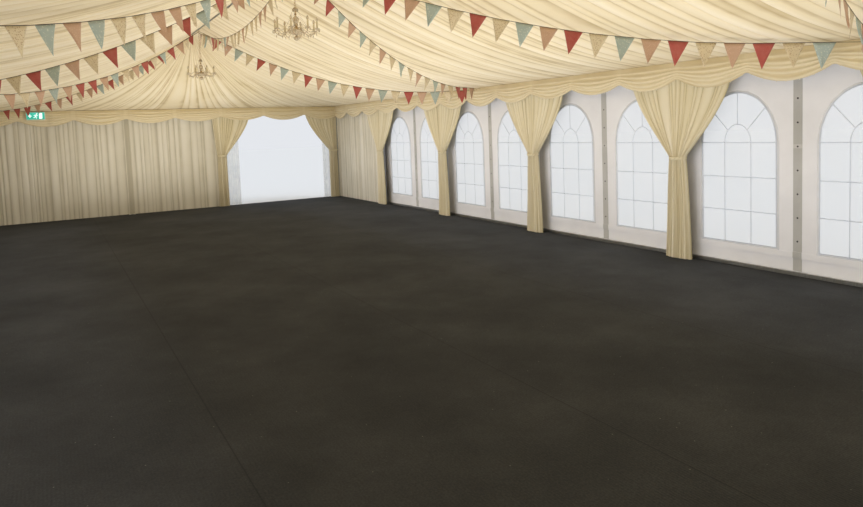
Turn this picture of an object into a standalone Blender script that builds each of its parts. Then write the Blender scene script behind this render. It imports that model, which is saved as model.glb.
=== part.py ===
"""Lined frame marquee: portal frames every bay, hipped ends, window walls, carpet and drapes.

Units are metres. The origin is on the ground at the centre of the plan, +Y runs along the
ridge to the far end, +X to the right-hand wall, and +Z is up.
"""

import math

import bmesh
import bpy
from mathutils import Vector

for stale in list(bpy.data.objects):
    bpy.data.objects.remove(stale)

# Plan and roof
BAY = 3.0
BAYS = 7
WIDTH = 9.0
EAVE_HEIGHT = 2.76
RIDGE_HEIGHT = 4.22

# Frame
LEG_DEPTH = 0.10
LEG_WIDTH = 0.05
RAFTER_DEPTH = 0.105
EAVE_BEAM_WIDTH = 0.06
EAVE_BEAM_DEPTH = 0.10
RIDGE_BEAM_WIDTH = 0.06
RIDGE_BEAM_DEPTH = 0.05
BASE_PLATE_MARGIN = 0.05
BASE_PLATE_THICKNESS = 0.012
HIP_SETBACK = 0.03

# Covers, walls and floor
COVER_THICKNESS = 0.010
RIDGE_SEAM = 0.002
SKIRT_DROP = 0.15
WALL_THICKNESS = 0.010
PANE_THICKNESS = 0.008
DECK_THICKNESS = 0.024
CARPET_THICKNESS = 0.006
NOTCH_CLEARANCE = 0.004

# Windows
WINDOW_WIDTH = 1.0
WINDOW_SILL = 0.316
WINDOW_SPRING = 1.543
WINDOW_RISE = 0.604
PANE_LAP = 0.03
SILL_BAND = 0.06

# Doorway in each end wall
GABLE_POSTS_APART = 2.25
DOOR_HEIGHT = 2.45
FLAP_WIDTH = 0.42
FLAP_THICKNESS = 0.04

# Lining, pelmet and drapes
LINING_THICKNESS = 0.012
LINING_SAG = 0.28
RIDGE_SLOT = 0.02
FAN_HUB = 0.04
WALL_LINING_THICKNESS = 0.028
PELMET_BELOW_EAVE = 0.173
PELMET_THICKNESS = 0.012
SWAG_DEPTH = 0.36
SWAG_TAIL = 0.16
SWAGS_PER_BAY = 3
END_SWAGS = 8
HEADING_DEPTH = 0.10
HEADING_THICKNESS = 0.022
DRAPE_TOP_WIDTH = 1.64
DRAPE_TIE_HEIGHT = 1.36
DRAPE_WAIST = 0.24
DRAPE_FOOT = 0.40
DOOR_DRAPE_FOOT = 0.30
DRAPE_FULLNESS = 0.10
DRAPE_LOWER_SPREAD = 0.69
DRAPE_UPPER_SPREAD = 0.89
DOOR_DRAPE_REACH = 0.80
DOOR_DRAPE_LAP = 0.20
DOOR_DRAPE_MARGIN = 0.05

# Fittings
CHANDELIER_FIRST = 1.25
CHANDELIER_SPACING = 2
CHANDELIER_COUNT = 3
CHANDELIER_BOTTOM = 2.99
CHANDELIER_DROP = 0.45
CHANDELIER_RADIUS = 0.30
CHANDELIER_SIDES = 12
CHAIN_RADIUS = 0.006
CORD_RADIUS = 0.003
SIGN_LEFT = -3.20
SIGN_WIDTH = 0.38
SIGN_DEPTH = 0.05
SIGN_HEIGHT = 0.18
SIGN_DROP = 0.016

# Bunting lines, from wall anchor to ridge hook and on, each stretch hanging between supports
BUNTING = (
    (
        (
            (-4.2920, 10.1000, 2.54),
            (-3.22, 9.26, 2.62),
            (-2.14, 8.43, 2.89),
            (-1.07, 7.59, 3.35),
            (0.0061, 6.7576, 4.00),
        ),
        (
            (0.0061, 6.7576, 4.00),
            (1.08, 5.84, 3.31),
            (2.15, 4.93, 2.83),
            (3.22, 4.01, 2.58),
            (4.2920, 3.1000, 2.55),
        ),
    ),
    (
        (
            (-4.2920, 3.3000, 2.55),
            (-3.22, 4.16, 2.59),
            (-2.15, 5.02, 2.84),
            (-1.08, 5.88, 3.31),
            (-0.0064, 6.7452, 3.98),
        ),
    ),
    (
        (
            (-4.2920, 3.0000, 2.55),
            (-3.22, 2.44, 2.67),
            (-2.14, 1.88, 2.96),
            (-1.07, 1.32, 3.40),
            (0.0061, 0.7577, 4.00),
        ),
        (
            (0.0061, 0.7577, 4.00),
            (1.08, -0.38, 3.39),
            (2.15, -1.52, 2.94),
            (3.22, -2.66, 2.66),
            (4.2920, -3.8000, 2.55),
        ),
    ),
    (
        (
            (-4.2920, -3.1000, 2.54),
            (-3.22, -2.14, 2.63),
            (-2.14, -1.18, 2.90),
            (-1.07, -0.22, 3.35),
            (0.0056, 0.7420, 3.98),
        ),
        (
            (0.0056, 0.7420, 3.98),
            (1.08, 1.31, 3.30),
            (2.15, 1.87, 2.83),
            (3.22, 2.44, 2.59),
            (4.2920, 3.0000, 2.57),
        ),
    ),
    (
        (
            (-4.2920, -3.9500, 2.53),
            (-3.22, -4.28, 2.66),
            (-2.15, -4.61, 2.94),
            (-1.07, -4.93, 3.39),
            (0.0000, -5.2600, 4.00),
        ),
        (
            (0.0000, -5.2600, 4.00),
            (1.07, -4.93, 3.39),
            (2.15, -4.61, 2.94),
            (3.22, -4.28, 2.66),
            (4.2920, -3.9500, 2.53),
        ),
    ),
    (
        (
            (0.0000, 6.7428, 3.96),
            (0.00, 5.24, 3.65),
            (0.00, 3.75, 3.54),
            (0.01, 2.25, 3.65),
            (0.0098, 0.7500, 3.96),
        ),
        (
            (0.0098, 0.7500, 3.96),
            (0.01, -0.75, 3.65),
            (0.00, -2.25, 3.54),
            (0.00, -3.74, 3.65),
            (0.0000, -5.2428, 3.96),
        ),
    ),
)

# Clearances
GAP = 0.0004
FLOOR_CLEARANCE = 0.004

LENGTH = BAY * BAYS
HALF_WIDTH = WIDTH / 2
HALF_LENGTH = LENGTH / 2
HALF_RIDGE = HALF_LENGTH - BAY
ROOF_SLOPE = (RIDGE_HEIGHT - EAVE_HEIGHT) / HALF_WIDTH
ROOF_RIDGE = HALF_RIDGE + LEG_WIDTH / 2
HIP_RUN = HALF_LENGTH - ROOF_RIDGE
HIP_RATIO = HIP_RUN / HALF_WIDTH
FLOOR_TOP = DECK_THICKNESS + GAP + CARPET_THICKNESS
WALL_INNER = WALL_THICKNESS + GAP
BEAM_INNER = WALL_INNER + EAVE_BEAM_WIDTH
LEG_OUTER = BEAM_INNER + GAP
LEG_INNER = LEG_OUTER + LEG_DEPTH
POST_INNER = WALL_INNER + LEG_DEPTH
BEAM_TOP = RIDGE_HEIGHT - ROOF_SLOPE * (HALF_WIDTH - WALL_INNER) - COVER_THICKNESS - GAP
BEAM_BOTTOM = BEAM_TOP - EAVE_BEAM_DEPTH
WALL_TOP = EAVE_HEIGHT - COVER_THICKNESS - GAP
RIDGE_BEAM_DROP = ROOF_SLOPE * RIDGE_BEAM_WIDTH / 2 + GAP
RIDGE_BEAM_TOP = RIDGE_HEIGHT - COVER_THICKNESS - GAP - RAFTER_DEPTH - RIDGE_BEAM_DROP
LINING_RIDGE = RIDGE_BEAM_TOP - RIDGE_BEAM_DEPTH - GAP - LINING_THICKNESS
PELMET_HEIGHT = EAVE_HEIGHT - PELMET_BELOW_EAVE
PELMET_FOOT = PELMET_HEIGHT - SWAG_DEPTH
HEADING_TOP = PELMET_HEIGHT - GAP
DRAPE_HEM = FLOOR_TOP + FLOOR_CLEARANCE
SIDE_DRAPE_BACK = HALF_WIDTH - LEG_INNER - GAP
SIDE_PELMET_BACK = SIDE_DRAPE_BACK - HEADING_THICKNESS - GAP
END_LINING_BACK = HALF_LENGTH - POST_INNER - GAP
END_DRAPE_BACK = END_LINING_BACK - WALL_LINING_THICKNESS - GAP
END_PELMET_BACK = END_DRAPE_BACK - HEADING_THICKNESS - GAP
DOOR_LEFT = GABLE_POSTS_APART / 2 + LEG_WIDTH / 2
DOOR_RIGHT = HALF_WIDTH - LEG_INNER


def material(name, colour, roughness, metallic=0.0, alpha=1.0):
    """A plain finish: its colour in linear RGB, its roughness and whether it is metal."""
    made = bpy.data.materials.new(name)
    made.use_nodes = True
    shader = made.node_tree.nodes["Principled BSDF"]
    shader.inputs["Base Color"].default_value = (*colour, 1.0)
    shader.inputs["Roughness"].default_value = roughness
    shader.inputs["Metallic"].default_value = metallic
    shader.inputs["Alpha"].default_value = alpha
    made.diffuse_color = (*colour, alpha)
    return made


def finish(name, shape, coat):
    """Makes an object of a bmesh, with its faces outward and one material."""
    bmesh.ops.recalc_face_normals(shape, faces=shape.faces)
    mesh = bpy.data.meshes.new(name)
    shape.to_mesh(mesh)
    shape.free()
    mesh.materials.append(coat)
    made = bpy.data.objects.new(name, mesh)
    bpy.context.scene.collection.objects.link(made)
    return made


def add_box(shape, low, high):
    """Adds a box between two opposite corners to a bmesh."""
    corners = bmesh.ops.create_cube(shape, size=1.0)["verts"]
    for vert in corners:
        for axis in range(3):
            vert.co[axis] = low[axis] if vert.co[axis] < 0 else high[axis]


def boxes(name, spans, coat):
    """An object of one or more boxes, each given by its two opposite corners."""
    shape = bmesh.new()
    for low, high in spans:
        add_box(shape, low, high)
    return finish(name, shape, coat)


def add_prism(shape, outline, place, start, end):
    """Adds a flat outline carried from start to end, each a depth or a function of (u, v)."""
    rings = []
    for depth in (start, end):
        at = depth if callable(depth) else lambda u, v, depth=depth: depth
        rings.append([shape.verts.new(place(u, v, at(u, v))) for u, v in outline])
    near, far = rings
    shape.faces.new(near)
    shape.faces.new(reversed(far))
    for i in range(len(outline)):
        j = (i + 1) % len(outline)
        shape.faces.new((near[i], far[i], far[j], near[j]))


def prism(name, outline, place, start, end, coat):
    """An object of one flat outline carried from start to end."""
    shape = bmesh.new()
    add_prism(shape, outline, place, start, end)
    return finish(name, shape, coat)


def across(u, v, w):
    """Outline in the X-Z plane, carried along Y."""
    return (u, w, v)


def along(u, v, w):
    """Outline in the Y-Z plane, carried along X."""
    return (w, u, v)


def fuse(body, extras, operation="UNION"):
    """Joins helper shapes to a body, or cuts them from it, and keeps them out of the render."""
    for extra in extras:
        extra.hide_render = True
        extra.display_type = "WIRE"
        step = body.modifiers.new(extra.name, "BOOLEAN")
        step.operation = operation
        step.object = extra
    return body


def portal_lines():
    """The Y of each portal frame, far end last."""
    return [-HALF_LENGTH + BAY * (i + 1) for i in range(BAYS - 1)]


def roof_under(reach):
    """The height just under the roof cover, at a distance out from the ridge."""
    return RIDGE_HEIGHT - ROOF_SLOPE * reach - COVER_THICKNESS - GAP


def plate_box(x_low, x_high, y_low, y_high):
    return ((x_low, y_low, 0.0), (x_high, y_high, BASE_PLATE_THICKNESS))


def portal_plates(y):
    """The two base plates of a portal, flush with the outer face of its legs."""
    reach = HALF_WIDTH - LEG_INNER - BASE_PLATE_MARGIN
    edge = HALF_WIDTH - LEG_OUTER
    half = LEG_WIDTH / 2 + BASE_PLATE_MARGIN
    return [
        plate_box(reach, edge, y - half, y + half),
        plate_box(-edge, -reach, y - half, y + half),
    ]


def make_portal(number, y):
    """Two legs on base plates and a pair of rafters, bolted as one bent."""
    outer = HALF_WIDTH - LEG_OUTER
    inner = HALF_WIDTH - LEG_INNER
    half = [
        (inner, 0.0),
        (outer, 0.0),
        (outer, roof_under(outer)),
    ]
    top = [(0.0, roof_under(0.0))]
    under = [
        (-inner, roof_under(inner) - RAFTER_DEPTH),
        (0.0, roof_under(0.0) - RAFTER_DEPTH),
        (inner, roof_under(inner) - RAFTER_DEPTH),
    ]
    mirrored = [(-u, v) for u, v in reversed(half)]
    outline = half + top + mirrored + under
    name = f"portal_frame_{number}"
    half_width = LEG_WIDTH / 2
    body = prism(name, outline, across, y - half_width, y + half_width, ALUMINIUM)
    plates = boxes(f"{name}_plates", portal_plates(y), ALUMINIUM)
    return fuse(body, [plates])


def end_post_spans():
    """The X range of each post of an end frame: corner, two gable posts, corner."""
    outer = HALF_WIDTH - LEG_OUTER
    inner = HALF_WIDTH - LEG_INNER
    half = LEG_WIDTH / 2
    middle = GABLE_POSTS_APART / 2
    return [
        (-outer, -inner),
        (-middle - half, -middle + half),
        (middle - half, middle + half),
        (inner, outer),
    ]


def end_plates(end):
    """The base plates of an end frame, flush with the outer faces of its posts."""
    outer = HALF_WIDTH - LEG_OUTER
    spans = []
    for low, high in end_post_spans():
        x_low = max(low - BASE_PLATE_MARGIN, -outer)
        x_high = min(high + BASE_PLATE_MARGIN, outer)
        y_out = HALF_LENGTH - WALL_INNER
        y_in = HALF_LENGTH - POST_INNER - BASE_PLATE_MARGIN
        spans.append(plate_box(x_low, x_high, *sorted((end * y_in, end * y_out))))
    return spans


def hip_rafter(name, side, end):
    """A bar from a corner post up to the end of the ridge, with plumb-cut ends."""
    run = Vector((HALF_WIDTH, HIP_RUN)).normalized()
    normal = Vector((run.y, -run.x))
    half = LEG_WIDTH / 2
    drop = ROOF_SLOPE / HIP_RATIO * run.x * half
    first = half / run.x + GAP
    last = HALF_WIDTH - LEG_OUTER - HIP_SETBACK
    plan = []
    for shift in (half, -half):
        plan.append(run * ((first - normal.y * shift) / run.y) + normal * shift)
    for shift in (-half, half):
        plan.append(run * ((last - normal.x * shift) / run.x) + normal * shift)

    def top(u, v):
        along_hip = Vector((u, v)).dot(run)
        return roof_under(along_hip * run.x) - drop

    shape = bmesh.new()
    add_prism(
        shape,
        [(p.x, p.y) for p in plan],
        lambda u, v, w: (side * u, end * (ROOF_RIDGE + v), w),
        lambda u, v: top(u, v) - RAFTER_DEPTH,
        top,
    )
    return finish(name, shape, ALUMINIUM)


def make_end_frame(name, end):
    """Corner posts, gable posts, eave beam across the end and the two hip rafters."""
    outer = HALF_WIDTH - LEG_OUTER
    y_in, y_out = HALF_LENGTH - POST_INNER, HALF_LENGTH - WALL_INNER
    beam_y = sorted((end * (y_out - EAVE_BEAM_WIDTH), end * y_out))
    post_y = sorted((end * y_in, end * y_out))
    body = boxes(
        name,
        [((-outer, beam_y[0], BEAM_BOTTOM), (outer, beam_y[1], BEAM_TOP))],
        ALUMINIUM,
    )
    posts = boxes(
        f"{name}_posts",
        [
            ((low, post_y[0], 0.0), (high, post_y[1], BEAM_TOP - EAVE_BEAM_DEPTH / 2))
            for low, high in end_post_spans()
        ],
        ALUMINIUM,
    )
    plates = boxes(f"{name}_plates", end_plates(end), ALUMINIUM)
    hips = [hip_rafter(f"{name}_hip_{side}", side, end) for side in (-1, 1)]
    return fuse(body, [posts, plates, *hips])


def make_beams():
    """Eave beams along both sides, and the ridge beam under the rafters."""
    inner, outer = HALF_WIDTH - BEAM_INNER, HALF_WIDTH - WALL_INNER
    reach = HALF_LENGTH - WALL_INNER
    for name, side in (("left_eave_beam", -1), ("right_eave_beam", 1)):
        low, high = sorted((side * inner, side * outer))
        boxes(name, [((low, -reach, BEAM_BOTTOM), (high, reach, BEAM_TOP))], ALUMINIUM)
    half = RIDGE_BEAM_WIDTH / 2
    end = HALF_RIDGE + LEG_WIDTH / 2
    boxes(
        "ridge_beam",
        [((-half, -end, RIDGE_BEAM_TOP - RIDGE_BEAM_DEPTH), (half, end, RIDGE_BEAM_TOP))],
        ALUMINIUM,
    )


def make_floor():
    """A boarded floor cut round every base plate, and the carpet on it."""
    plates = end_plates(-1) + end_plates(1)
    for y in portal_lines():
        plates += portal_plates(y)
    room = Vector((NOTCH_CLEARANCE, NOTCH_CLEARANCE, BAY))
    cuts = [(Vector(low) - room, Vector(high) + room) for low, high in plates]
    reach_x = HALF_WIDTH - WALL_INNER - PANE_THICKNESS - NOTCH_CLEARANCE
    reach_y = HALF_LENGTH - WALL_INNER
    layers = (
        ("floor_deck", 0.0, DECK_THICKNESS, TIMBER),
        ("carpet", DECK_THICKNESS + GAP, FLOOR_TOP, CARPET),
    )
    for name, low, high, coat in layers:
        body = boxes(name, [((-reach_x, -reach_y, low), (reach_x, reach_y, high))], coat)
        fuse(body, [boxes(f"{name}_notches", cuts, coat)], "DIFFERENCE")


def make_roof():
    """Four roof covers, mitred along the hips, each with a skirt over the wall head."""
    seam = GAP / 2
    thick = COVER_THICKNESS

    def section(reach):
        """A slope and its skirt, from the ridge out to the wall at that reach."""
        slope = (RIDGE_HEIGHT - EAVE_HEIGHT) / reach
        inside = reach + GAP
        edge = inside + thick
        foot = RIDGE_HEIGHT - slope * edge - SKIRT_DROP
        return [
            (RIDGE_SEAM, RIDGE_HEIGHT - slope * RIDGE_SEAM),
            (edge, RIDGE_HEIGHT - slope * edge),
            (edge, foot),
            (inside, foot),
            (inside, RIDGE_HEIGHT - slope * inside - thick),
            (RIDGE_SEAM, RIDGE_HEIGHT - slope * RIDGE_SEAM - thick),
        ]

    for name, side in (("left_roof_cover", -1), ("right_roof_cover", 1)):
        prism(
            name,
            section(HALF_WIDTH),
            lambda u, v, w, side=side: (side * u, w, v),
            lambda u, v: -(ROOF_RIDGE + u * HIP_RATIO - seam),
            lambda u, v: ROOF_RIDGE + u * HIP_RATIO - seam,
            COVER,
        )
    for name, end in (("near_roof_cover", -1), ("far_roof_cover", 1)):
        prism(
            name,
            section(HIP_RUN),
            lambda u, v, w, end=end: (w, end * (ROOF_RIDGE + u), v),
            lambda u, v: -(u / HIP_RATIO - seam),
            lambda u, v: u / HIP_RATIO - seam,
            COVER,
        )


def window_centres():
    """The Y of each window: two in every bay but the first and the last."""
    centres = []
    for bay in range(1, BAYS - 1):
        for share in (0.25, 0.75):
            centres.append(-HALF_LENGTH + BAY * (bay + share))
    return centres


def arch(centre, half, rise, steps=12):
    """The points of a round-headed top, from its right springing to its left one."""
    points = []
    for i in range(steps + 1):
        angle = math.pi * i / steps
        points.append(
            (centre + half * math.cos(angle), WINDOW_SPRING + rise * math.sin(angle))
        )
    return points


def make_side_wall(side, label):
    """A wall of coated fabric with round-headed windows, and the clear panes behind them."""
    x_range = sorted((side * (HALF_WIDTH - WALL_THICKNESS), side * HALF_WIDTH))
    wall = boxes(
        f"{label}_wall",
        [((x_range[0], -HALF_LENGTH, 0.0), (x_range[1], HALF_LENGTH, WALL_TOP))],
        WALL,
    )
    cutter = bmesh.new()
    half = WINDOW_WIDTH / 2
    for centre in window_centres():
        outline = [(centre - half, WINDOW_SILL), (centre + half, WINDOW_SILL)]
        outline += arch(centre, half, WINDOW_RISE)
        add_prism(cutter, outline, along, x_range[0] - BAY, x_range[1] + BAY)
    fuse(wall, [finish(f"{label}_window_cuts", cutter, WALL)], "DIFFERENCE")

    centres = window_centres()
    half += PANE_LAP
    foot = WINDOW_SILL - SILL_BAND - PANE_LAP
    head = WINDOW_SILL - PANE_LAP
    outline = [(centres[0] - half, foot), (centres[-1] + half, foot)]
    for centre in reversed(centres):
        if centre != centres[-1]:
            outline.append((centre + half, head))
        outline += arch(centre, half, WINDOW_RISE + PANE_LAP)
        if centre != centres[0]:
            outline.append((centre - half, head))
    outer = side * (HALF_WIDTH - WALL_INNER)
    inner = side * (HALF_WIDTH - WALL_INNER - PANE_THICKNESS)
    prism(f"{label}_window_panes", outline, along, inner, outer, CLEAR)


def make_end_wall(end, label):
    """The end wall beside its doorway, the header over it and the folded door flaps."""
    y_range = sorted((end * (HALF_LENGTH - WALL_THICKNESS), end * HALF_LENGTH))
    edge = HALF_WIDTH - WALL_INNER
    boxes(
        f"{label}_wall",
        [((-edge, y_range[0], 0.0), (DOOR_LEFT, y_range[1], WALL_TOP))],
        WALL,
    )
    boxes(
        f"{label}_door_header",
        [((DOOR_LEFT + GAP, y_range[0], DOOR_HEIGHT), (edge, y_range[1], WALL_TOP))],
        WALL,
    )
    out = HALF_LENGTH - WALL_INNER - GAP
    flap_y = sorted((end * (out - FLAP_THICKNESS), end * out))
    foot, head = DRAPE_HEM, BEAM_BOTTOM - GAP
    left, right = DOOR_LEFT + GAP, DOOR_RIGHT - GAP
    rail = boxes(
        f"{label}_door_flaps",
        [((left, flap_y[0], head - HEADING_DEPTH), (right, flap_y[1], head))],
        CLEAR,
    )
    flaps = boxes(
        f"{label}_door_flap_pair",
        [
            ((left, flap_y[0], foot), (left + FLAP_WIDTH, flap_y[1], head)),
            ((right - FLAP_WIDTH, flap_y[0], foot), (right, flap_y[1], head)),
        ],
        CLEAR,
    )
    fuse(rail, [flaps])


def lining_height(share):
    """The underside of the roof lining, a share of the way from the ridge to the pelmet."""
    fall = (LINING_RIDGE - PELMET_HEIGHT) * share
    return LINING_RIDGE - fall - 4 * LINING_SAG * share * (1 - share)


def make_roof_lining(steps=8):
    """Pleated lining hung from the ridge to the eaves, and a fan of it in each end bay."""
    reach = SIDE_DRAPE_BACK
    shares = [i / steps for i in range(steps + 1)]
    under = [(RIDGE_SLOT + (reach - RIDGE_SLOT) * s, lining_height(s)) for s in shares]
    over = [(u, v + LINING_THICKNESS) for u, v in reversed(under)]
    length = HALF_RIDGE - GAP
    for name, side in (("left_roof_lining", -1), ("right_roof_lining", 1)):
        prism(
            name,
            under + over,
            lambda u, v, w, side=side: (side * u, w, v),
            -length,
            length,
            LINING,
        )
    for name, end in (("near_fan_lining", -1), ("far_fan_lining", 1)):
        make_fan(name, end, reach)


def make_fan(name, end, reach, steps=5):
    """Lining that spreads from the end of the ridge to three sides of the end bay."""
    depth = BAY - POST_INNER - GAP
    side_steps, end_steps = 3, 6
    rim = [(reach, GAP + (depth - GAP) * i / side_steps) for i in range(side_steps)]
    rim += [(reach - 2 * reach * i / end_steps, depth) for i in range(end_steps + 1)]
    rim += [(-x, y) for x, y in reversed(rim[:side_steps])]
    shape = bmesh.new()
    layers = []
    for lift in (0.0, LINING_THICKNESS):
        rows = []
        for i, (x, y) in enumerate(rim):
            hub = Vector((x, y - GAP)).normalized() * FAN_HUB + Vector((0.0, GAP))
            row = []
            for j in range(steps + 1):
                share = j / steps
                spot = hub.lerp(Vector((x, y)), share)
                height = lining_height(share) + lift
                row.append(shape.verts.new((spot.x, end * (HALF_RIDGE + spot.y), height)))
            rows.append(row)
        layers.append(rows)
    lower, upper = layers
    count = len(rim)
    for i in range(count - 1):
        for j in range(steps):
            for rows in layers:
                shape.faces.new((rows[i][j], rows[i + 1][j], rows[i + 1][j + 1], rows[i][j + 1]))
        for j in (0, steps):
            shape.faces.new((lower[i][j], lower[i + 1][j], upper[i + 1][j], upper[i][j]))
    for i in (0, count - 1):
        for j in range(steps):
            shape.faces.new((lower[i][j], lower[i][j + 1], upper[i][j + 1], upper[i][j]))
    finish(name, shape, LINING)


def make_wall_lining(end, label):
    """Flat pleated lining over the end wall and the first bay of each side wall."""
    face = END_LINING_BACK
    front = face - WALL_LINING_THICKNESS
    start = HALF_RIDGE + LEG_WIDTH / 2 + GAP
    inner = HALF_WIDTH - LEG_INNER + GAP
    outer = inner + WALL_LINING_THICKNESS
    corner = [
        (DOOR_LEFT, face),
        (-outer, face),
        (-outer, start),
        (-inner, start),
        (-inner, front),
        (DOOR_LEFT, front),
    ]
    strip = [(inner, start), (outer, start), (outer, face), (inner, face)]
    for name, plan in (
        (f"{label}_left_wall_lining", corner),
        (f"{label}_right_wall_lining", strip),
    ):
        prism(name, plan, lambda u, v, w: (u, end * v, w), DRAPE_HEM, HEADING_TOP, LINING)


def swagged(start, end, anchors, steps=6):
    """The outline of a pelmet whose lower edge hangs in swags between its anchors."""
    outline = [(start, HEADING_TOP), (end, HEADING_TOP)]
    lower = []
    for first, second in zip(anchors, anchors[1:]):
        for i in range(steps):
            share = i / steps
            spot = first + (second - first) * share
            depth = SWAG_TAIL + (SWAG_DEPTH - SWAG_TAIL) * 4 * share * (1 - share)
            if start < spot < end:
                lower.append((spot, PELMET_HEIGHT - depth))
    edge = PELMET_HEIGHT - SWAG_TAIL
    return outline + [(end, edge)] + lower[::-1] + [(start, edge)]


def make_pelmets():
    """Swagged pelmets along the eaves, hung just inside the headings of the drapes."""
    back, end_back = SIDE_PELMET_BACK, END_PELMET_BACK
    front, end_front = back - PELMET_THICKNESS, end_back - PELMET_THICKNESS
    reach = end_front - GAP
    spacing = BAY / SWAGS_PER_BAY
    anchors = [-HALF_LENGTH + spacing * i for i in range(BAYS * SWAGS_PER_BAY + 1)]
    for label, side in (("left", -1), ("right", 1)):
        prism(
            f"{label}_pelmet",
            swagged(-reach, reach, anchors),
            along,
            side * front,
            side * back,
            DRAPE,
        )
    spacing = WIDTH / END_SWAGS
    anchors = [-HALF_WIDTH + spacing * i for i in range(END_SWAGS + 1)]
    for label, end in (("near", -1), ("far", 1)):
        prism(
            f"{label}_pelmet",
            swagged(-back, back, anchors),
            across,
            end * end_front,
            end * end_back,
            DRAPE,
        )


def add_drape(shape, stations, place):
    """Adds a drape lofted through stations of (height, low, high, thickness)."""
    rings = []
    for height, low, high, thickness in stations:
        cut = min(0.3 * thickness, 0.2 * (high - low))
        ring = [
            (low, 0.0),
            (high, 0.0),
            (high, thickness - cut),
            (high - cut, thickness),
            (low + cut, thickness),
            (low, thickness - cut),
        ]
        rings.append([shape.verts.new(place(u, v, height)) for u, v in ring])
    for lower, upper in zip(rings, rings[1:]):
        for i in range(len(lower)):
            j = (i + 1) % len(lower)
            shape.faces.new((lower[i], lower[j], upper[j], upper[i]))
    shape.faces.new(rings[0])
    shape.faces.new(reversed(rings[-1]))


def drape_stations(top_low, top_high, waist, foot_width=DRAPE_FOOT):
    """A drape that is wide and thin at its heading, tied in at the waist and straight below."""
    half = DRAPE_WAIST / 2
    foot = foot_width / 2
    low, high = waist - half - top_low, top_high - waist - half

    def station(height, spread, thickness):
        return (height, waist - half - spread * low, waist + half + spread * high, thickness)

    halfway = (DRAPE_TIE_HEIGHT + HEADING_TOP) / 2
    lower_thickness = (DRAPE_FULLNESS + HEADING_THICKNESS) / 2
    return [
        (DRAPE_HEM, waist - foot, waist + foot, DRAPE_FULLNESS),
        station(DRAPE_TIE_HEIGHT, 0.0, DRAPE_FULLNESS),
        station(halfway, DRAPE_LOWER_SPREAD, lower_thickness),
        station(PELMET_FOOT, DRAPE_UPPER_SPREAD, HEADING_THICKNESS),
        station(HEADING_TOP, 1.0, HEADING_THICKNESS),
    ]


def make_leg_drapes():
    """A tied drape at each leg, hung from one heading along the side."""
    lines = portal_lines()
    half = DRAPE_TOP_WIDTH / 2
    for label, side in (("left", -1), ("right", 1)):
        back, front = side * SIDE_DRAPE_BACK, side * (SIDE_DRAPE_BACK - HEADING_THICKNESS)
        low = (min(back, front), lines[0] - half, HEADING_TOP - HEADING_DEPTH)
        high = (max(back, front), lines[-1] + half, HEADING_TOP)
        heading = boxes(f"{label}_leg_drapes", [(low, high)], DRAPE)
        shape = bmesh.new()
        for y in lines:
            add_drape(
                shape,
                drape_stations(y - half, y + half, y),
                lambda u, v, w, side=side: (side * (SIDE_DRAPE_BACK - v), u, w),
            )
        fuse(heading, [finish(f"{label}_drape_set", shape, DRAPE)])


def make_door_drapes():
    """A pair of drapes over each doorway, tied back to its posts."""
    left_waist = DOOR_LEFT - LEG_WIDTH
    right_waist = DOOR_RIGHT - DOOR_DRAPE_MARGIN - DRAPE_WAIST / 2
    start, stop = left_waist - DOOR_DRAPE_LAP, DOOR_RIGHT - DOOR_DRAPE_MARGIN
    for label, end in (("near", -1), ("far", 1)):
        back, front = end * END_DRAPE_BACK, end * (END_DRAPE_BACK - HEADING_THICKNESS)
        low = (start, min(back, front), HEADING_TOP - HEADING_DEPTH)
        high = (stop, max(back, front), HEADING_TOP)
        heading = boxes(f"{label}_door_drapes", [(low, high)], DRAPE)
        shape = bmesh.new()
        for stations in (
            drape_stations(start, left_waist + DOOR_DRAPE_REACH, left_waist, DOOR_DRAPE_FOOT),
            drape_stations(right_waist - DOOR_DRAPE_REACH, stop, right_waist, DOOR_DRAPE_FOOT),
        ):
            add_drape(
                shape,
                stations,
                lambda u, v, w, end=end: (u, end * (END_DRAPE_BACK - v), w),
            )
        fuse(heading, [finish(f"{label}_door_drape_pair", shape, DRAPE)])


def make_chandelier(number, y):
    """A turned outline of crystal drops and arms on a chain from the ridge beam."""
    top = RIDGE_BEAM_TOP - RIDGE_BEAM_DEPTH - GAP
    crown = CHANDELIER_BOTTOM + CHANDELIER_DROP
    # Crown, neck, arms, rim and bowl, as shares of the radius and of the drop from the crown
    body = ((0.20, 0.07), (0.10, 0.27), (0.30, 0.44), (1.00, 0.49), (1.00, 0.67))
    bowl = ((0.60, 0.73), (0.35, 0.89), (0.08, 1.00))
    profile = [(CHAIN_RADIUS, top), (CHAIN_RADIUS, crown)]
    for out, down in body + bowl:
        profile.append((out * CHANDELIER_RADIUS, crown - down * CHANDELIER_DROP))
    turn = 2 * math.pi / CHANDELIER_SIDES
    shape = bmesh.new()
    rings = []
    for radius, height in profile:
        ring = []
        for i in range(CHANDELIER_SIDES):
            angle = turn * i
            spot = (radius * math.cos(angle), y + radius * math.sin(angle), height)
            ring.append(shape.verts.new(spot))
        rings.append(ring)
    for lower, upper in zip(rings, rings[1:]):
        for i in range(CHANDELIER_SIDES):
            j = (i + 1) % CHANDELIER_SIDES
            shape.faces.new((lower[i], lower[j], upper[j], upper[i]))
    shape.faces.new(rings[0])
    shape.faces.new(rings[-1])
    finish(f"chandelier_{number}", shape, CRYSTAL)


def smooth(points, steps):
    """Points along one curve through all of the given ones, that many to a stretch."""
    spots = [Vector(p) for p in points]
    ends = [2 * spots[0] - spots[1]] + spots + [2 * spots[-1] - spots[-2]]
    line = []
    for a, b, c, d in zip(ends, ends[1:], ends[2:], ends[3:]):
        for i in range(steps):
            t = i / steps
            line.append(
                0.5
                * (
                    2 * b
                    + (c - a) * t
                    + (2 * a - 5 * b + 4 * c - d) * t * t
                    + (3 * b - 3 * c + d - a) * t * t * t
                )
            )
    line.append(spots[-1])
    return line


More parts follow.
